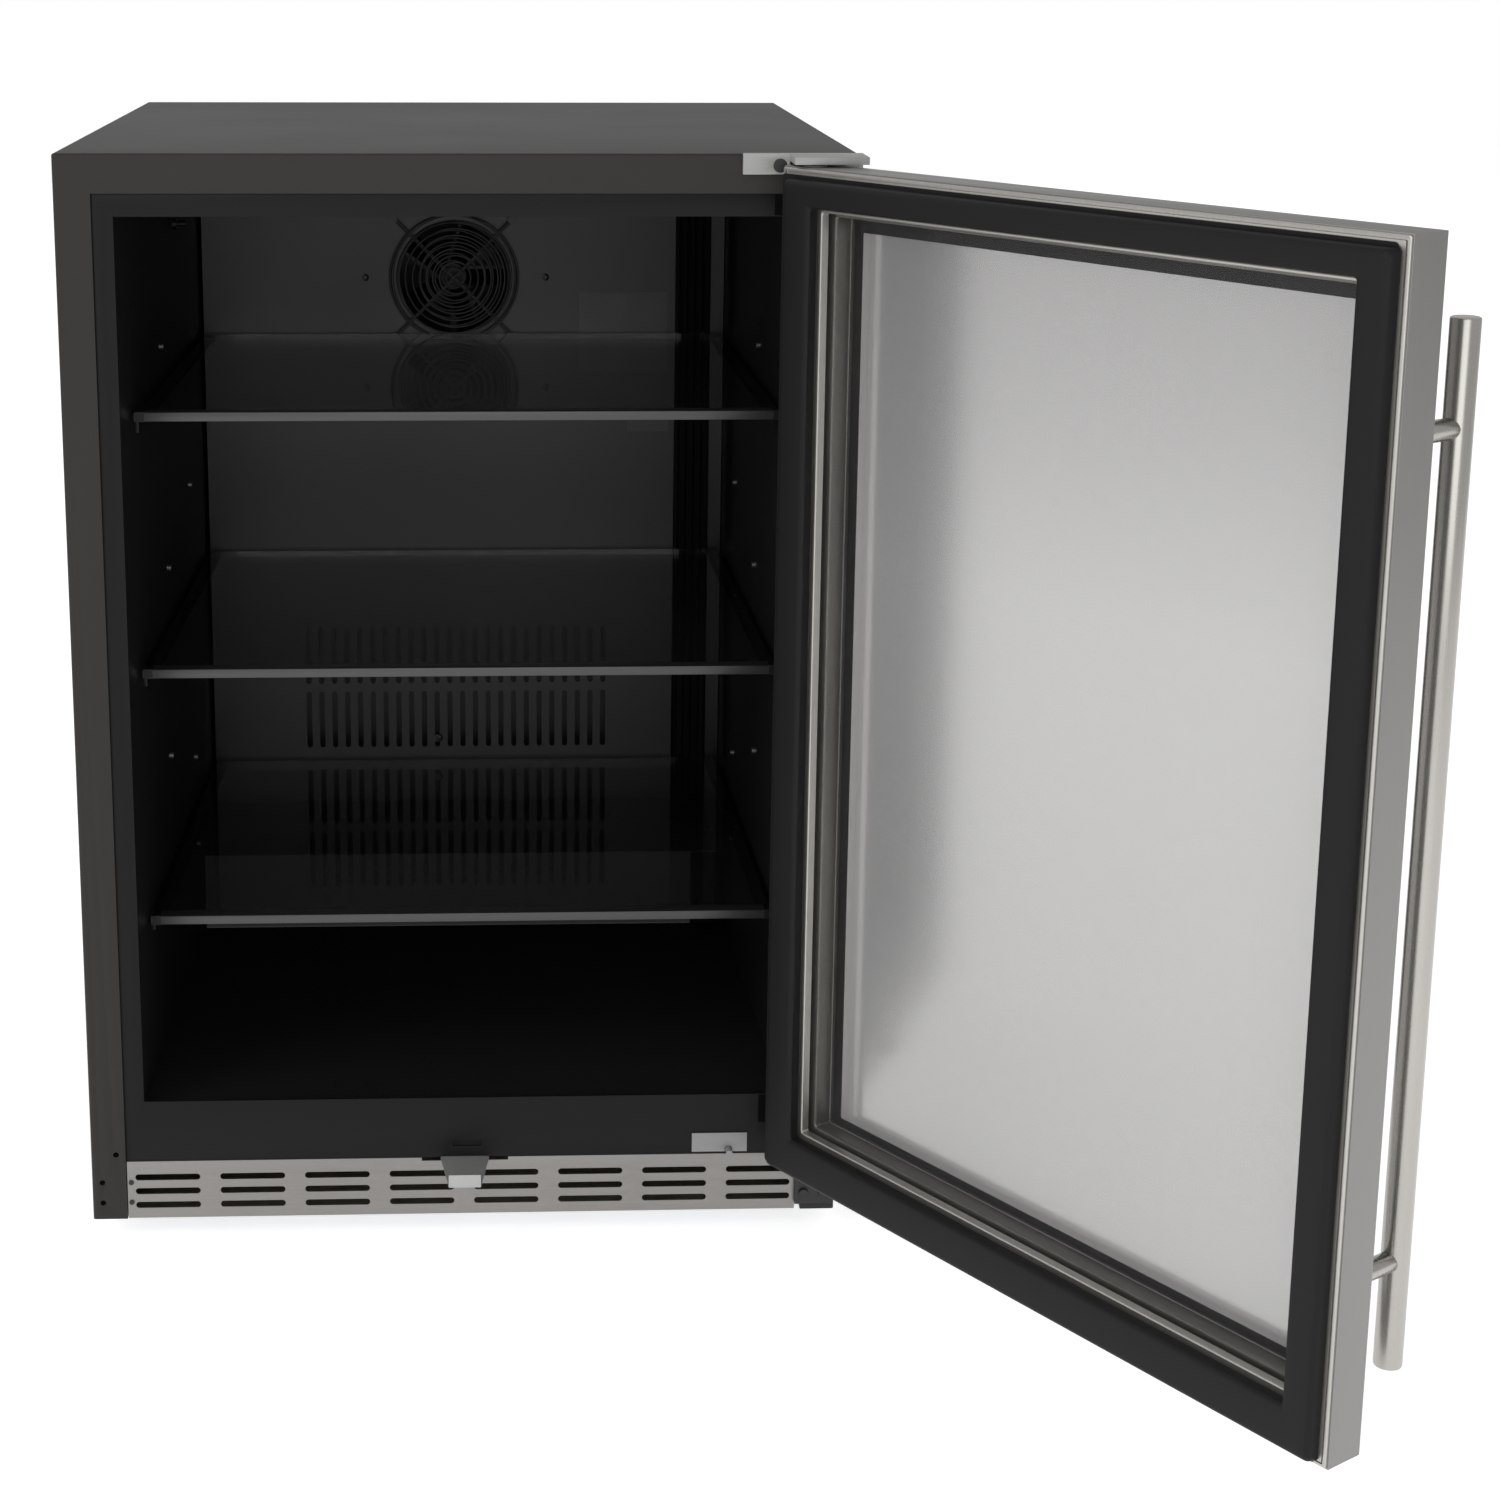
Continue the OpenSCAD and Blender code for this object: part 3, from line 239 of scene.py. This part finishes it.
# %% Plastics, rubber and foam
liner_black = finish("liner_plastic", (0.0085, 0.0085, 0.0085), 0.30, tone=0.10, grain=700,
                     bump=0.03, Specular_IOR_Level=0.35)
frame_grey = finish("landing_plastic", (0.0060, 0.0060, 0.0060), 0.5, tone=0.08, grain=900,
                    bump=0.06, Specular_IOR_Level=0.16)
panel_grey = finish("panel_plastic", (0.0085, 0.0085, 0.0085), 0.36, tone=0.08, grain=900,
                    bump=0.05, Specular_IOR_Level=0.4)
black_gloss = finish("black_plastic", (0.0025, 0.0025, 0.0025), 0.36, tone=0.15, grain=900,
                     bump=0.04, Specular_IOR_Level=0.25)
# The duct and the corner caps are black parts. This finish is darker and less glossy than the other black
# plastics, so it also paints the deep shade of the strips where they sit.
duct_black_and_painted_shade = finish("duct_plastic", (0.0012, 0.0012, 0.0012), 0.5, tone=0.15, grain=900,
                    bump=0.04, Specular_IOR_Level=0.06)
light_plastic = finish("light_plastic", (0.24, 0.24, 0.24), 0.5, tone=0.05, grain=900, bump=0.05)
milky = finish("milky_lens", (0.30, 0.30, 0.29), 0.35, tone=0.04, grain=400, bump=0.1)
plate_ink = finish("plate_plastic", (0.016, 0.017, 0.019), 0.4, tone=0.25, tone_size=60, grain=300,
                   bump=0.05)
rubber = finish("black_rubber", (0.012, 0.012, 0.012), 0.7, tone=0.2, grain=600, bump=0.15)
vinyl = finish("gasket_vinyl", (0.0085, 0.0085, 0.0085), 0.50, tone=0.10, grain=800, bump=0.05,
               Specular_IOR_Level=0.16)
foam = finish("cut_foam", (0.62, 0.52, 0.28), 0.9, tone=0.2, tone_size=40, grain=300, bump=0.6)
frit = finish("frit_ink", (0.010, 0.010, 0.010), 0.5, tone=0.2, grain=500, bump=0.05)


def glass(name, colour, rough, mix, metal=0.0, **sockets):
    """Thin glass: part clear, part mirror, with a faint haze over it and no relief."""
    mat = finish(name, colour, rough, metal=metal, tone=0.02, tone_size=2, grain=2, bump=0,
                 rough_span=0.01, **sockets)
    mat.node_tree.nodes["Principled BSDF"].inputs["Alpha"].default_value = mix
    return mat


shelf_glass = glass("shelf_glass", (0.010, 0.011, 0.011), 0.02, 0.55, Specular_IOR_Level=1.0)
clear_pane = glass("clear_pane", (0.02, 0.02, 0.02), 0.02, 0.07, Specular_IOR_Level=0.5)
coated_pane = glass("coated_pane", (0.60, 0.595, 0.59), 0.13, 1.0, metal=0.5)

# %% [markdown]
# The coating reflects the room: a darker ceiling above, the pale floor below. A ramp on height paints
# that reflection into its colour, brighter up to about a third of its height and dimmer towards the top.

# %% Painted reflection on the coating
def paint_reflection_by_height(mat, low, high, tones):
    """Multiply a finish's colour by grey tones spread evenly from height low to high."""
    nodes, links = mat.node_tree.nodes, mat.node_tree.links
    shader = nodes["Principled BSDF"]
    plain = shader.inputs["Base Color"].links[0].from_socket
    where = nodes.new("ShaderNodeTexCoord")
    split = nodes.new("ShaderNodeSeparateXYZ")
    links.new(where.outputs["Object"], split.inputs[0])
    height = nodes.new("ShaderNodeMapRange")
    height.inputs["From Min"].default_value = low
    height.inputs["From Max"].default_value = high
    links.new(split.outputs["Z"], height.inputs["Value"])
    ramp = nodes.new("ShaderNodeValToRGB")
    ramp.color_ramp.interpolation = "B_SPLINE"
    while len(ramp.color_ramp.elements) < len(tones):
        ramp.color_ramp.elements.new(0.5)
    for k, tone in enumerate(tones):
        ramp.color_ramp.elements[k].position = k / (len(tones) - 1)
        ramp.color_ramp.elements[k].color = (tone, tone, tone, 1)
    links.new(height.outputs["Result"], ramp.inputs["Fac"])
    product = nodes.new("ShaderNodeMix")
    product.data_type = "RGBA"
    product.blend_type = "MULTIPLY"
    product.inputs["Factor"].default_value = 1.0
    links.new(plain, product.inputs["A"])
    links.new(ramp.outputs["Color"], product.inputs["B"])
    links.new(product.outputs["Result"], shader.inputs["Base Color"])


# Painted reflection: the pane's colour is brightened and dimmed by height to stand for the room it reflects.
paint_reflection_by_height(coated_pane, 0.10, 0.84, (1.0, 1.06, 1.14, 1.13, 1.05, 0.95, 0.86, 0.80))
print("finishes", len(bpy.data.materials))

# %% [markdown]
# ## Dressing the CAD pieces
# Each CAD piece keeps its shape and takes the finish of its real material.

# %% Which piece takes which finish
dress = {
    paint_case: ["outer_case"],
    zinc: ["rear_panel", "rear_cover", "base_pan", "fan_shroud"],
    foam: ["foam_body", "door_foam"],
    liner_black: ["inner_liner"],
    frame_grey: ["face_frame", "thermostat_box"],
    # Corner caps and duct take the near-black finish that also paints shade.
    duct_black_and_painted_shade: ["corner_caps", "wire_duct"],
    black_gloss: ["shelf_rails", "start_relay", "drain_pan",
                  "power_inlet", "evap_fan_blade", "temp_probe", "evap_fan_motor"],
    steel_grille: ["toe_grille"],
    black_steel: ["grille_screws", "cover_screws", "fan_guard", "compressor", "bottom_hinge",
                  "hinge_screws"],
    rubber: ["levelling_feet", "compressor_grommets"],
    alu_fin: ["condenser"],
    coated_fin: ["evaporator"],
    panel_grey: ["evaporator_cover"],
    motor_paint: ["condenser_fan_motor"],
    plate_ink: ["label_plates"],
    light_plastic: ["thermostat_knob", "condenser_fan_blade", "switch_plate", "switch_plunger",
                    "hinge_bushes"],
    bright_screw: ["lock_barrel", "lock_cam"],
    dull_stud: ["shelf_pins"],
    milky: ["lamp_lens"],
    shelf_glass: ["shelf_glass_1", "shelf_glass_2", "shelf_glass_3"],
    alu_trim: ["shelf_trim_1", "shelf_trim_2", "shelf_trim_3"],
    copper: ["filter_drier", "refrigerant_pipes"],
    steel_bright: ["lock_strike"],
    grey_steel: ["top_hinge"],
    steel_door: ["door_skin"],
    alu_frame: ["door_frame"],
    clear_pane: ["inner_glass"],
    alu_spacer: ["glass_spacer"],
    coated_pane: ["outer_glass"],
    vinyl: ["door_gasket"],
    steel_bar: ["handle_bar", "handle_posts"],
}
finish_of = {name: mat for mat, names in dress.items() for name in names}
for name, mat in finish_of.items():
    node = frame["nodes"][name]
    node.data.materials.clear()
    node.data.materials.append(mat)
floor_paint = finish("floor_paint", (1.0, 1.0, 1.0), 0.6, tone=0.01, tone_size=2, bump=0.02)
floor_sockets = floor_paint.node_tree.nodes["Principled BSDF"].inputs
floor_sockets["Emission Strength"].default_value = 0.55
floor_sockets["Emission Color"].default_value = (1, 1, 1, 1)
studio_floor.data.materials.append(floor_paint)
print("pieces without a finish:", sorted(set(frame["nodes"]) - set(finish_of)))

# %% [markdown]
# ## Handing a finer piece over
# The model says which body each CAD piece moves with. A finer piece that stands for one of them
# rides on the same body and takes that piece's finish, unless another finish is given.

# %% Placing a finer piece
body_of = {n: body for body, names in frame["record"]["behaviour"]["bodies"].items() for n in names}


def hand_over(name, mesh, like, stands_for=(), mat=None):
    """A mesh becomes a shown piece that moves and is painted like a CAD piece."""
    mesh.materials.clear()
    mesh.materials.append(mat or finish_of[like])
    obj = bpy.data.objects.new(name, mesh)
    bpy.context.scene.collection.objects.link(obj)
    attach(obj, body_of[like])
    if stands_for:
        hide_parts(*stands_for)
    print(name, len(mesh.polygons), "faces")
    return obj


def mesh_from(name, bm):
    """A finished mesh whose gentle edges shade smoothly."""
    gentle = radians(35)
    bmesh.ops.recalc_face_normals(bm, faces=bm.faces)
    for face in bm.faces:
        face.smooth = True
    for edge in bm.edges:
        edge.smooth = len(edge.link_faces) == 2 and edge.calc_face_angle(0.0) < gentle
    mesh = bpy.data.meshes.new(name)
    bm.to_mesh(mesh)
    bm.free()
    return mesh


# %% [markdown]
# ## Softer edges
# Pressed and folded sheet has no sharp edges: each fold is a small radius that catches a line
# of light. The edges could be drawn in CAD, but there each one makes the file heavier. Here a
# copy of the CAD mesh is welded, its flat faces are joined again, and a Bevel modifier rounds
# what is left.


# %% Rounded copies of CAD pieces
def soften(node, width):
    """Replace a CAD piece with a copy whose edges are rounded by width."""
    bm = bmesh.new()
    bm.from_mesh(frame["nodes"][node].data)
    bmesh.ops.remove_doubles(bm, verts=bm.verts, dist=2e-5)
    bmesh.ops.dissolve_limit(bm, angle_limit=radians(0.5), verts=bm.verts, edges=bm.edges)
    plain = bpy.data.meshes.new(node + "_plain")
    bm.to_mesh(plain)
    bm.free()
    holder = bpy.data.objects.new(node + "_holder", plain)
    bpy.context.scene.collection.objects.link(holder)
    bevel = holder.modifiers.new("fold", "BEVEL")
    bevel.width = width
    bevel.segments = 2
    bevel.limit_method = "ANGLE"
    bevel.angle_limit = radians(40)
    bevel.use_clamp_overlap = True
    shown = holder.evaluated_get(bpy.context.evaluated_depsgraph_get())
    rounded = bpy.data.meshes.new_from_object(shown)
    bpy.data.objects.remove(holder)
    bm = bmesh.new()
    bm.from_mesh(rounded)
    return hand_over(node + "_soft", mesh_from(node + "_soft", bm), node, [node])


fold = {
    "outer_case": 0.0012, "toe_grille": 0.0004, "top_hinge": 0.0009, "bottom_hinge": 0.0006,
    "handle_bar": 0.0012, "handle_posts": 0.0004, "lock_strike": 0.0003, "switch_plate": 0.0005,
    "start_relay": 0.002, "thermostat_box": 0.002, "lamp_lens": 0.003, "compressor": 0.0006,
    "levelling_feet": 0.0008, "thermostat_knob": 0.0012, "lock_barrel": 0.0006,
    "drain_pan": 0.0006, "power_inlet": 0.0006, "face_frame": 0.0005, "inner_liner": 0.0012,
    "wire_duct": 0.0004, "shelf_rails": 0.0003, "door_skin": 0.0006,
}
for name, width in fold.items():
    soften(name, width)

# %% [markdown]
# ## Frames around the door's window
# The door's frame, gasket and spacer each have one cross-section that runs round the window. A
# curve could carry a profile, but the four sides have different widths. So each point of the
# cross-section becomes a rectangle of its own, at its own depth and with four insets from the
# door's edges, and faces join each rectangle to the next. Depth 0 is the door's inner face, and
# the gasket stands on it at negative depths.

# %% The door's own directions
door_turn = radians(124)
skin_lo, skin_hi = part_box("door_skin")
pin = Vector([j for j in frame["joints"] if j["name"] == "door_hinge"][0]["pos_m"])
hinge_in = 0.018
inner_face = 0.016
door_width = 0.559
door_foot, door_head = skin_lo[2], skin_hi[2]
swing = Matrix.Translation((pin.x, pin.y, 0)) @ Matrix.Rotation(door_turn, 4, "Z")


def on_door(across, deep, high):
    """A point of the open door: across from its hinged edge, deep from its inner face."""
    return swing @ Vector((hinge_in - across, inner_face - deep, high))


def rounded_ring(deep, inset, radius, steps=6):
    """The points of one rectangle; inset is (hinged edge, free edge, top, bottom)."""
    near, far = inset[0], door_width - inset[1]
    low, high = door_foot + inset[3], door_head - inset[2]
    points = []
    for across, up, start in ((near, low, 180), (far, low, 270), (far, high, 0), (near, high, 90)):
        side = 1 if across == near else -1
        rise = 1 if up == low else -1
        for k in range(steps + 1):
            angle = radians(start + 90 * k / steps)
            points.append(on_door(across + side * radius + radius * cos(angle), deep,
                                  up + rise * radius + radius * sin(angle)))
    return points


def ring_frame(name, rings):
    """A mesh from rings of (depth, insets, corner radius), each joined to the next,
    and the last to the first."""
    bm = bmesh.new()
    rows = [[bm.verts.new(p) for p in rounded_ring(*ring)] for ring in rings]
    for one, two in zip(rows, rows[1:] + rows[:1]):
        for i in range(len(one)):
            j = (i + 1) % len(one)
            bm.faces.new((one[i], one[j], two[j], two[i]))
    return mesh_from(name, bm)


def grow(inset, by):
    """The same insets, each a little further in."""
    return tuple(v + by for v in inset)


print("door", round(door_width, 4), "by", round(door_head - door_foot, 4))

# %% [markdown]
# ### Door frame
# The frame is an aluminium extrusion. Its outer edge has two bright ribs with a thin groove
# between them, and at the window it ends in a rolled bead, a short step and a dark reveal.

# %% Door frame
outer_edge = (0.0008, 0.0008, 0.0008, 0.0008)
opening = (0.045, 0.037, 0.031, 0.041)
rib, groove = 0.0022, 0.0009
frame_rings = [
    (0.0020, outer_edge, 0.0012),
    (0.0006, outer_edge, 0.0012),
    (0.0002, grow(outer_edge, 0.0003), 0.0012),
    (0.0000, grow(outer_edge, 0.0008), 0.0012),
    (0.0000, grow(outer_edge, rib), 0.0010),
    (0.0012, grow(outer_edge, rib + 0.0002), 0.0010),
    (0.0012, grow(outer_edge, rib + groove), 0.0010),
    (0.0000, grow(outer_edge, rib + groove + 0.0002), 0.0010),
    (0.0000, grow(opening, -0.0068), 0.0020),
    (0.0012, grow(opening, -0.0064), 0.0020),
    (0.0012, grow(opening, -0.0034), 0.0020),
    (0.0003, grow(opening, -0.0026), 0.0020),
    (0.0000, grow(opening, -0.0018), 0.0020),
    (0.0000, grow(opening, -0.0008), 0.0020),
    (0.0004, grow(opening, -0.0002), 0.0020),
    (0.0014, opening, 0.0020),
    (0.0064, opening, 0.0020),
    (0.0064, grow(opening, -0.0014), 0.0020),
    (0.0020, grow(opening, -0.0014), 0.0020),
]
hand_over("door_frame_ribbed", ring_frame("door_frame_ribbed", frame_rings), "door_frame",
          ["door_frame"])

# %% [markdown]
# ### Spacer and printed border
# The spacer holds the panes apart, with a lip at each pane and a wall between them. The outer
# pane has a dark border printed on it that hides the glue.

# %% Spacer and printed border
pane_front = 0.0105
pane_back = 0.0295
lip = grow(opening, 0.0033)
spacer_rings = [
    (pane_front + 0.0002, grow(opening, -0.006), 0.002),
    (pane_front + 0.0002, grow(opening, 0.0020), 0.002),
    (pane_front + 0.0004, grow(opening, 0.0028), 0.002),
    (pane_front + 0.0012, lip, 0.002),
    (pane_front + 0.0030, lip, 0.002),
    (pane_front + 0.0034, grow(lip, -0.0008), 0.002),
    (pane_back - 0.0036, grow(lip, -0.0008), 0.002),
    (pane_back - 0.0032, lip, 0.002),
    (pane_back - 0.0004, lip, 0.002),
    (pane_back - 0.0004, grow(opening, -0.006), 0.002),
]
hand_over("glass_spacer_profile", ring_frame("glass_spacer_profile", spacer_rings),
          "glass_spacer", ["glass_spacer"])
border_in = (0.0573, 0.0430, 0.0460, 0.0500)
border_rings = [
    (pane_back - 0.0003, grow(opening, -0.004), 0.001),
    (pane_back - 0.0003, border_in, 0.001),
    (pane_back - 0.00005, border_in, 0.001),
    (pane_back - 0.00005, grow(opening, -0.004), 0.001),
]
hand_over("printed_border", ring_frame("printed_border", border_rings),
          "outer_glass", mat=frit)

# %% [markdown]
# ### Gasket
# The gasket is soft vinyl with a magnet inside. Its outer edge is round, its inner edge rolls
# down to the frame, and a thin fin lies on the door's frame outside it.

# %% Gasket
seat = -0.0001
crest = -0.0097
seal_out = (0.0105, 0.0070, 0.0085, 0.0040)
seal_in = (0.0405, 0.0310, 0.0275, 0.0360)
fin_out = (0.0015, 0.0090, 0.0055, 0.0015)


def between(t):
    """Insets a share t of the way from the gasket's outer line to its inner line."""
    return tuple(a + (b - a) * t for a, b in zip(seal_out, seal_in))


round_edge = 0.0045
edge_steps = 8
gasket_rings = [(seat, fin_out, 0.003), (seat - 0.0007, fin_out, 0.003),
                (seat - 0.0008, grow(seal_out, -0.0004), 0.003)]
for k in range(edge_steps + 1):
    angle = radians(90 * k / edge_steps)
    gasket_rings.append((crest + round_edge * (1 - sin(angle)),
                         grow(seal_out, round_edge * (1 - cos(angle))), 0.004))
gasket_rings += [
    (crest, between(0.84), 0.003),
    (crest + 0.0002, between(0.90), 0.003),
    (crest + 0.0006, between(0.96), 0.003),
    (crest + 0.0020, seal_in, 0.003),
    (seat - 0.0016, seal_in, 0.003),
    (seat, between(0.985), 0.003),
]
hand_over("door_gasket_profile", ring_frame("door_gasket_profile", gasket_rings),
          "door_gasket", ["door_gasket"])

# %% [markdown]
# ## Small tools for Geometry Nodes
# What repeats is made by a node tree: one tree says how a ring or a screw head looks, and the
# guard's tree also where each ring goes. Each tree has named inputs for its sizes. The result is
# turned into a plain mesh, because a saved model can't hold live copies.


# %% Building and running a node tree
def new_tree(name, inputs):
    """An empty node tree with one geometry output and named number inputs."""
    tree = bpy.data.node_groups.new(name, "GeometryNodeTree")
    tree.interface.new_socket("Geometry", in_out="OUTPUT", socket_type="NodeSocketGeometry")
    for label, kind in inputs.items():
        tree.interface.new_socket(label, in_out="INPUT", socket_type=kind)
    tree.nodes.new("NodeGroupInput")
    tree.nodes.new("NodeGroupOutput")
    return tree


def add(tree, kind, settings=None, **values):
    """A node with its settings, whose sockets take a number or another node's output."""
    node = tree.nodes.new(kind)
    for key, value in (settings or {}).items():
        setattr(node, key, value)
    for label, value in values.items():
        socket = node.inputs[label.replace("_", " ")]
        if isinstance(value, bpy.types.NodeSocket):
            tree.links.new(value, socket)
        else:
            socket.default_value = value
    return node


def close_tree(tree, geometry, mat):
    """Make the copies real, give them their finish and send them out."""
    real = add(tree, "GeometryNodeRealizeInstances", Geometry=geometry)
    painted = add(tree, "GeometryNodeSetMaterial", Geometry=real.outputs[0])
    painted.inputs["Material"].default_value = mat
    tree.links.new(painted.outputs[0], tree.nodes["Group Output"].inputs[0])


def run_tree(tree, place=Matrix.Identity(4), **values):
    """Evaluate a tree on an empty mesh with these inputs, and return a plain mesh at place."""
    holder = bpy.data.objects.new(tree.name, bpy.data.meshes.new(tree.name))
    bpy.context.scene.collection.objects.link(holder)
    modifier = holder.modifiers.new("nodes", "NODES")
    modifier.node_group = tree
    for item in tree.interface.items_tree:
        if item.in_out == "INPUT":
            modifier[item.identifier] = values[item.name.replace(" ", "_")]
    shown = holder.evaluated_get(bpy.context.evaluated_depsgraph_get())
    mesh = bpy.data.meshes.new_from_object(shown)
    bpy.data.objects.remove(holder)
    mesh.transform(place)
    bm = bmesh.new()
    bm.from_mesh(mesh)
    return mesh_from(tree.name, bm)


print("node tools ready")

# %% [markdown]
# ### Fan guard
# The guard is a set of steel wire rings on two crossed wires. It is shown together with the CAD
# guard, which keeps its own rings and posts. One circle is copied once for
# each ring and scaled by its number, and only then swept with the wire's own round profile, so
# that every ring has the same thickness.

# %% Fan guard
guard_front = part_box("fan_guard")[0][1]
blade_lo, blade_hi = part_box("evap_fan_blade")
fan_centre = Vector(((blade_lo[0] + blade_hi[0]) / 2, 0, (blade_lo[2] + blade_hi[2]) / 2))
guard_radius = 0.0575
wire_radius = 0.0009
hollow = 0.35  # the open middle, in ring pitches

guard_tree = new_tree("wire_guard", {"rings": "NodeSocketInt", "radius": "NodeSocketFloat",
                                     "wire": "NodeSocketFloat", "arm": "NodeSocketFloat"})
given = guard_tree.nodes["Group Input"].outputs
row = add(guard_tree, "GeometryNodeMeshLine", Count=given["rings"])
row.inputs["Offset"].default_value = (0, 0, 0)
number = add(guard_tree, "GeometryNodeInputIndex")
shift = add(guard_tree, "ShaderNodeMath", {"operation": "ADD"})
guard_tree.links.new(number.outputs[0], shift.inputs[0])
shift.inputs[1].default_value = 1 + hollow
count = add(guard_tree, "ShaderNodeMath", {"operation": "ADD"})
guard_tree.links.new(given["rings"], count.inputs[0])
count.inputs[1].default_value = hollow
share = add(guard_tree, "ShaderNodeMath", {"operation": "DIVIDE"})
guard_tree.links.new(shift.outputs[0], share.inputs[0])
guard_tree.links.new(count.outputs[0], share.inputs[1])
size = add(guard_tree, "ShaderNodeMath", {"operation": "MULTIPLY"})
guard_tree.links.new(share.outputs[0], size.inputs[0])
guard_tree.links.new(given["radius"], size.inputs[1])
circle = add(guard_tree, "GeometryNodeCurvePrimitiveCircle", Resolution=72, Radius=1.0)
rings = add(guard_tree, "GeometryNodeInstanceOnPoints", Points=row.outputs[0],
            Instance=circle.outputs[0], Scale=size.outputs[0])
loose = add(guard_tree, "GeometryNodeRealizeInstances", Geometry=rings.outputs[0])
profile = add(guard_tree, "GeometryNodeCurvePrimitiveCircle", Resolution=10, Radius=given["wire"])
wires = add(guard_tree, "GeometryNodeCurveToMesh", Curve=loose.outputs[0],
            Profile_Curve=profile.outputs[0])
ends = [add(guard_tree, "ShaderNodeCombineXYZ") for _ in range(2)]
back = add(guard_tree, "ShaderNodeMath", {"operation": "MULTIPLY"})
guard_tree.links.new(given["arm"], back.inputs[0])
back.inputs[1].default_value = -1.0
guard_tree.links.new(back.outputs[0], ends[0].inputs[0])
guard_tree.links.new(given["arm"], ends[1].inputs[0])
arm_line = add(guard_tree, "GeometryNodeCurvePrimitiveLine", Start=ends[0].outputs[0],
               End=ends[1].outputs[0])
arm_wire = add(guard_tree, "GeometryNodeCurveToMesh", Curve=arm_line.outputs[0],
               Profile_Curve=profile.outputs[0], Fill_Caps=True)
crossing = []
for angle in (45, 135):
    crossing.append(add(guard_tree, "GeometryNodeTransform", Geometry=arm_wire.outputs[0]))
    crossing[-1].inputs["Rotation"].default_value = (0, 0, radians(angle))
    crossing[-1].inputs["Translation"].default_value = (0, 0, 0.0012)
everything = add(guard_tree, "GeometryNodeJoinGeometry")
for part in [wires] + crossing:
    guard_tree.links.new(part.outputs[0], everything.inputs[0])
close_tree(guard_tree, everything.outputs[0], black_steel)
ring_depth = 0.0016
facing = Matrix.Translation((fan_centre.x, guard_front + ring_depth, fan_centre.z)) \
    @ Matrix.Rotation(-pi / 2, 4, "X")
guard_mesh = run_tree(guard_tree, facing, rings=9, radius=guard_radius, wire=wire_radius,
                      arm=0.0752)
hand_over("fan_guard_wires", guard_mesh, "fan_guard")

# %% [markdown]
# ### Screw heads
# Every screw here has a round head with a cross recess. One head is a flattened ball with a
# cross cut out of it by a boolean node, and a copy is set over the CAD head at each place.

# %% Screw heads
def cross_head(name, radius, height, mat):
    """A node tree that makes one domed head with a cross recess, on the x-y plane."""
    tree = new_tree(name, {"radius": "NodeSocketFloat", "height": "NodeSocketFloat"})
    given = tree.nodes["Group Input"].outputs
    ball = add(tree, "GeometryNodeMeshUVSphere", Segments=28, Rings=14, Radius=1.0)
    scale = add(tree, "ShaderNodeCombineXYZ")
    for k, label in enumerate(("radius", "radius", "height")):
        tree.links.new(given[label], scale.inputs[k])
    dome = add(tree, "GeometryNodeTransform", Geometry=ball.outputs[0], Scale=scale.outputs[0])
    bars = []
    for k in range(2):
        bar = add(tree, "GeometryNodeMeshCube")
        length, width = radius * 1.15, radius * 0.24
        wide = (length, width) if k == 0 else (width, length)
        bar.inputs["Size"].default_value = (*wide, height)
        lifted = add(tree, "GeometryNodeTransform", Geometry=bar.outputs[0])
        lifted.inputs["Translation"].default_value = (0, 0, height * 0.95)
        bars.append(lifted)
    cut = add(tree, "GeometryNodeMeshBoolean", {"operation": "DIFFERENCE"})
    tree.links.new(dome.outputs[0], cut.inputs["Mesh 1"])
    for bar in bars:
        tree.links.new(bar.outputs[0], cut.inputs["Mesh 2"])
    close_tree(tree, cut.outputs[0], mat)
    return run_tree(tree, radius=radius, height=height)


def set_screws(name, places, facing, radius, height, like):
    """Copies of one head at these places, facing a direction, each with its cross turned."""
    head = cross_head(name, radius, height, finish_of[like])
    turn_to = Vector(facing).to_track_quat("Z", "Y").to_matrix().to_4x4()
    bm = bmesh.new()
    for k, place in enumerate(places):
        copy = head.copy()
        copy.transform(Matrix.Translation(place) @ turn_to @ Matrix.Rotation(0.7 + 0.9 * k, 4, "Z"))
        bm.from_mesh(copy)
    return hand_over(name, mesh_from(name, bm), like)


head_radius = 0.0034
fan_screw_reach = 0.0825
vent_screw_in = 0.0185
screw_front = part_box("evaporator_cover")[0][1] - 0.0002
vent_screw_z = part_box("cover_screws")[0][2] + head_radius
set_screws("cover_screw_heads",
           [(fan_centre.x + side * fan_screw_reach, screw_front, fan_centre.z)
            for side in (-1, 1)]
           + [(fan_centre.x - vent_screw_in, screw_front, vent_screw_z)],
           (0, -1, 0), head_radius, 0.0018, "cover_screws")
grille_lo, grille_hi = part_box("grille_screws")
small_head = 0.0020
set_screws("grille_screw_heads",
           [((grille_lo[0] + grille_hi[0]) / 2, grille_lo[1] + 0.0006, high)
            for high in (grille_lo[2] + small_head, grille_hi[2] - small_head)],
           (0, -1, 0), small_head, 0.0006, "grille_screws")

# %% [markdown]
# ### Ends of the shelf trims
# Each shelf's aluminium channel is closed at both ends by a black plastic cap that slides over
# it. A cap is a rounded block a little thicker than the channel.


# %% Shelf trims and their caps
def rounded_block(name, low, high, radius):
    """A block between two corners with rounded edges."""
    bm = bmesh.new()
    bmesh.ops.create_cube(bm, size=1.0)
    for vert in bm.verts:
        vert.co = Vector([low[k] + (vert.co[k] + 0.5) * (high[k] - low[k]) for k in range(3)])
    bmesh.ops.bevel(bm, geom=bm.edges[:], offset=radius, segments=3, affect="EDGES")
    return mesh_from(name, bm)


cap_length = 0.0085
cap_wall = 0.0004
trims = [f"shelf_trim_{shelf}" for shelf in (1, 2, 3)]
for name in trims:
    low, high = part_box(name)
    for side, edge, inward in (("left", low[0], 1), ("right", high[0], -1)):
        start, stop = sorted((edge + inward * cap_length, edge + inward * cap_wall))
        cap = rounded_block(f"{name}_{side}_cap", (start, low[1] - cap_wall, low[2] - cap_wall),
                            (stop, high[1] + cap_wall, high[2] + cap_wall), 0.0008)
        hand_over(f"{name}_{side}_cap", cap, name, mat=black_gloss)
for name in trims:
    soften(name, 0.0006)
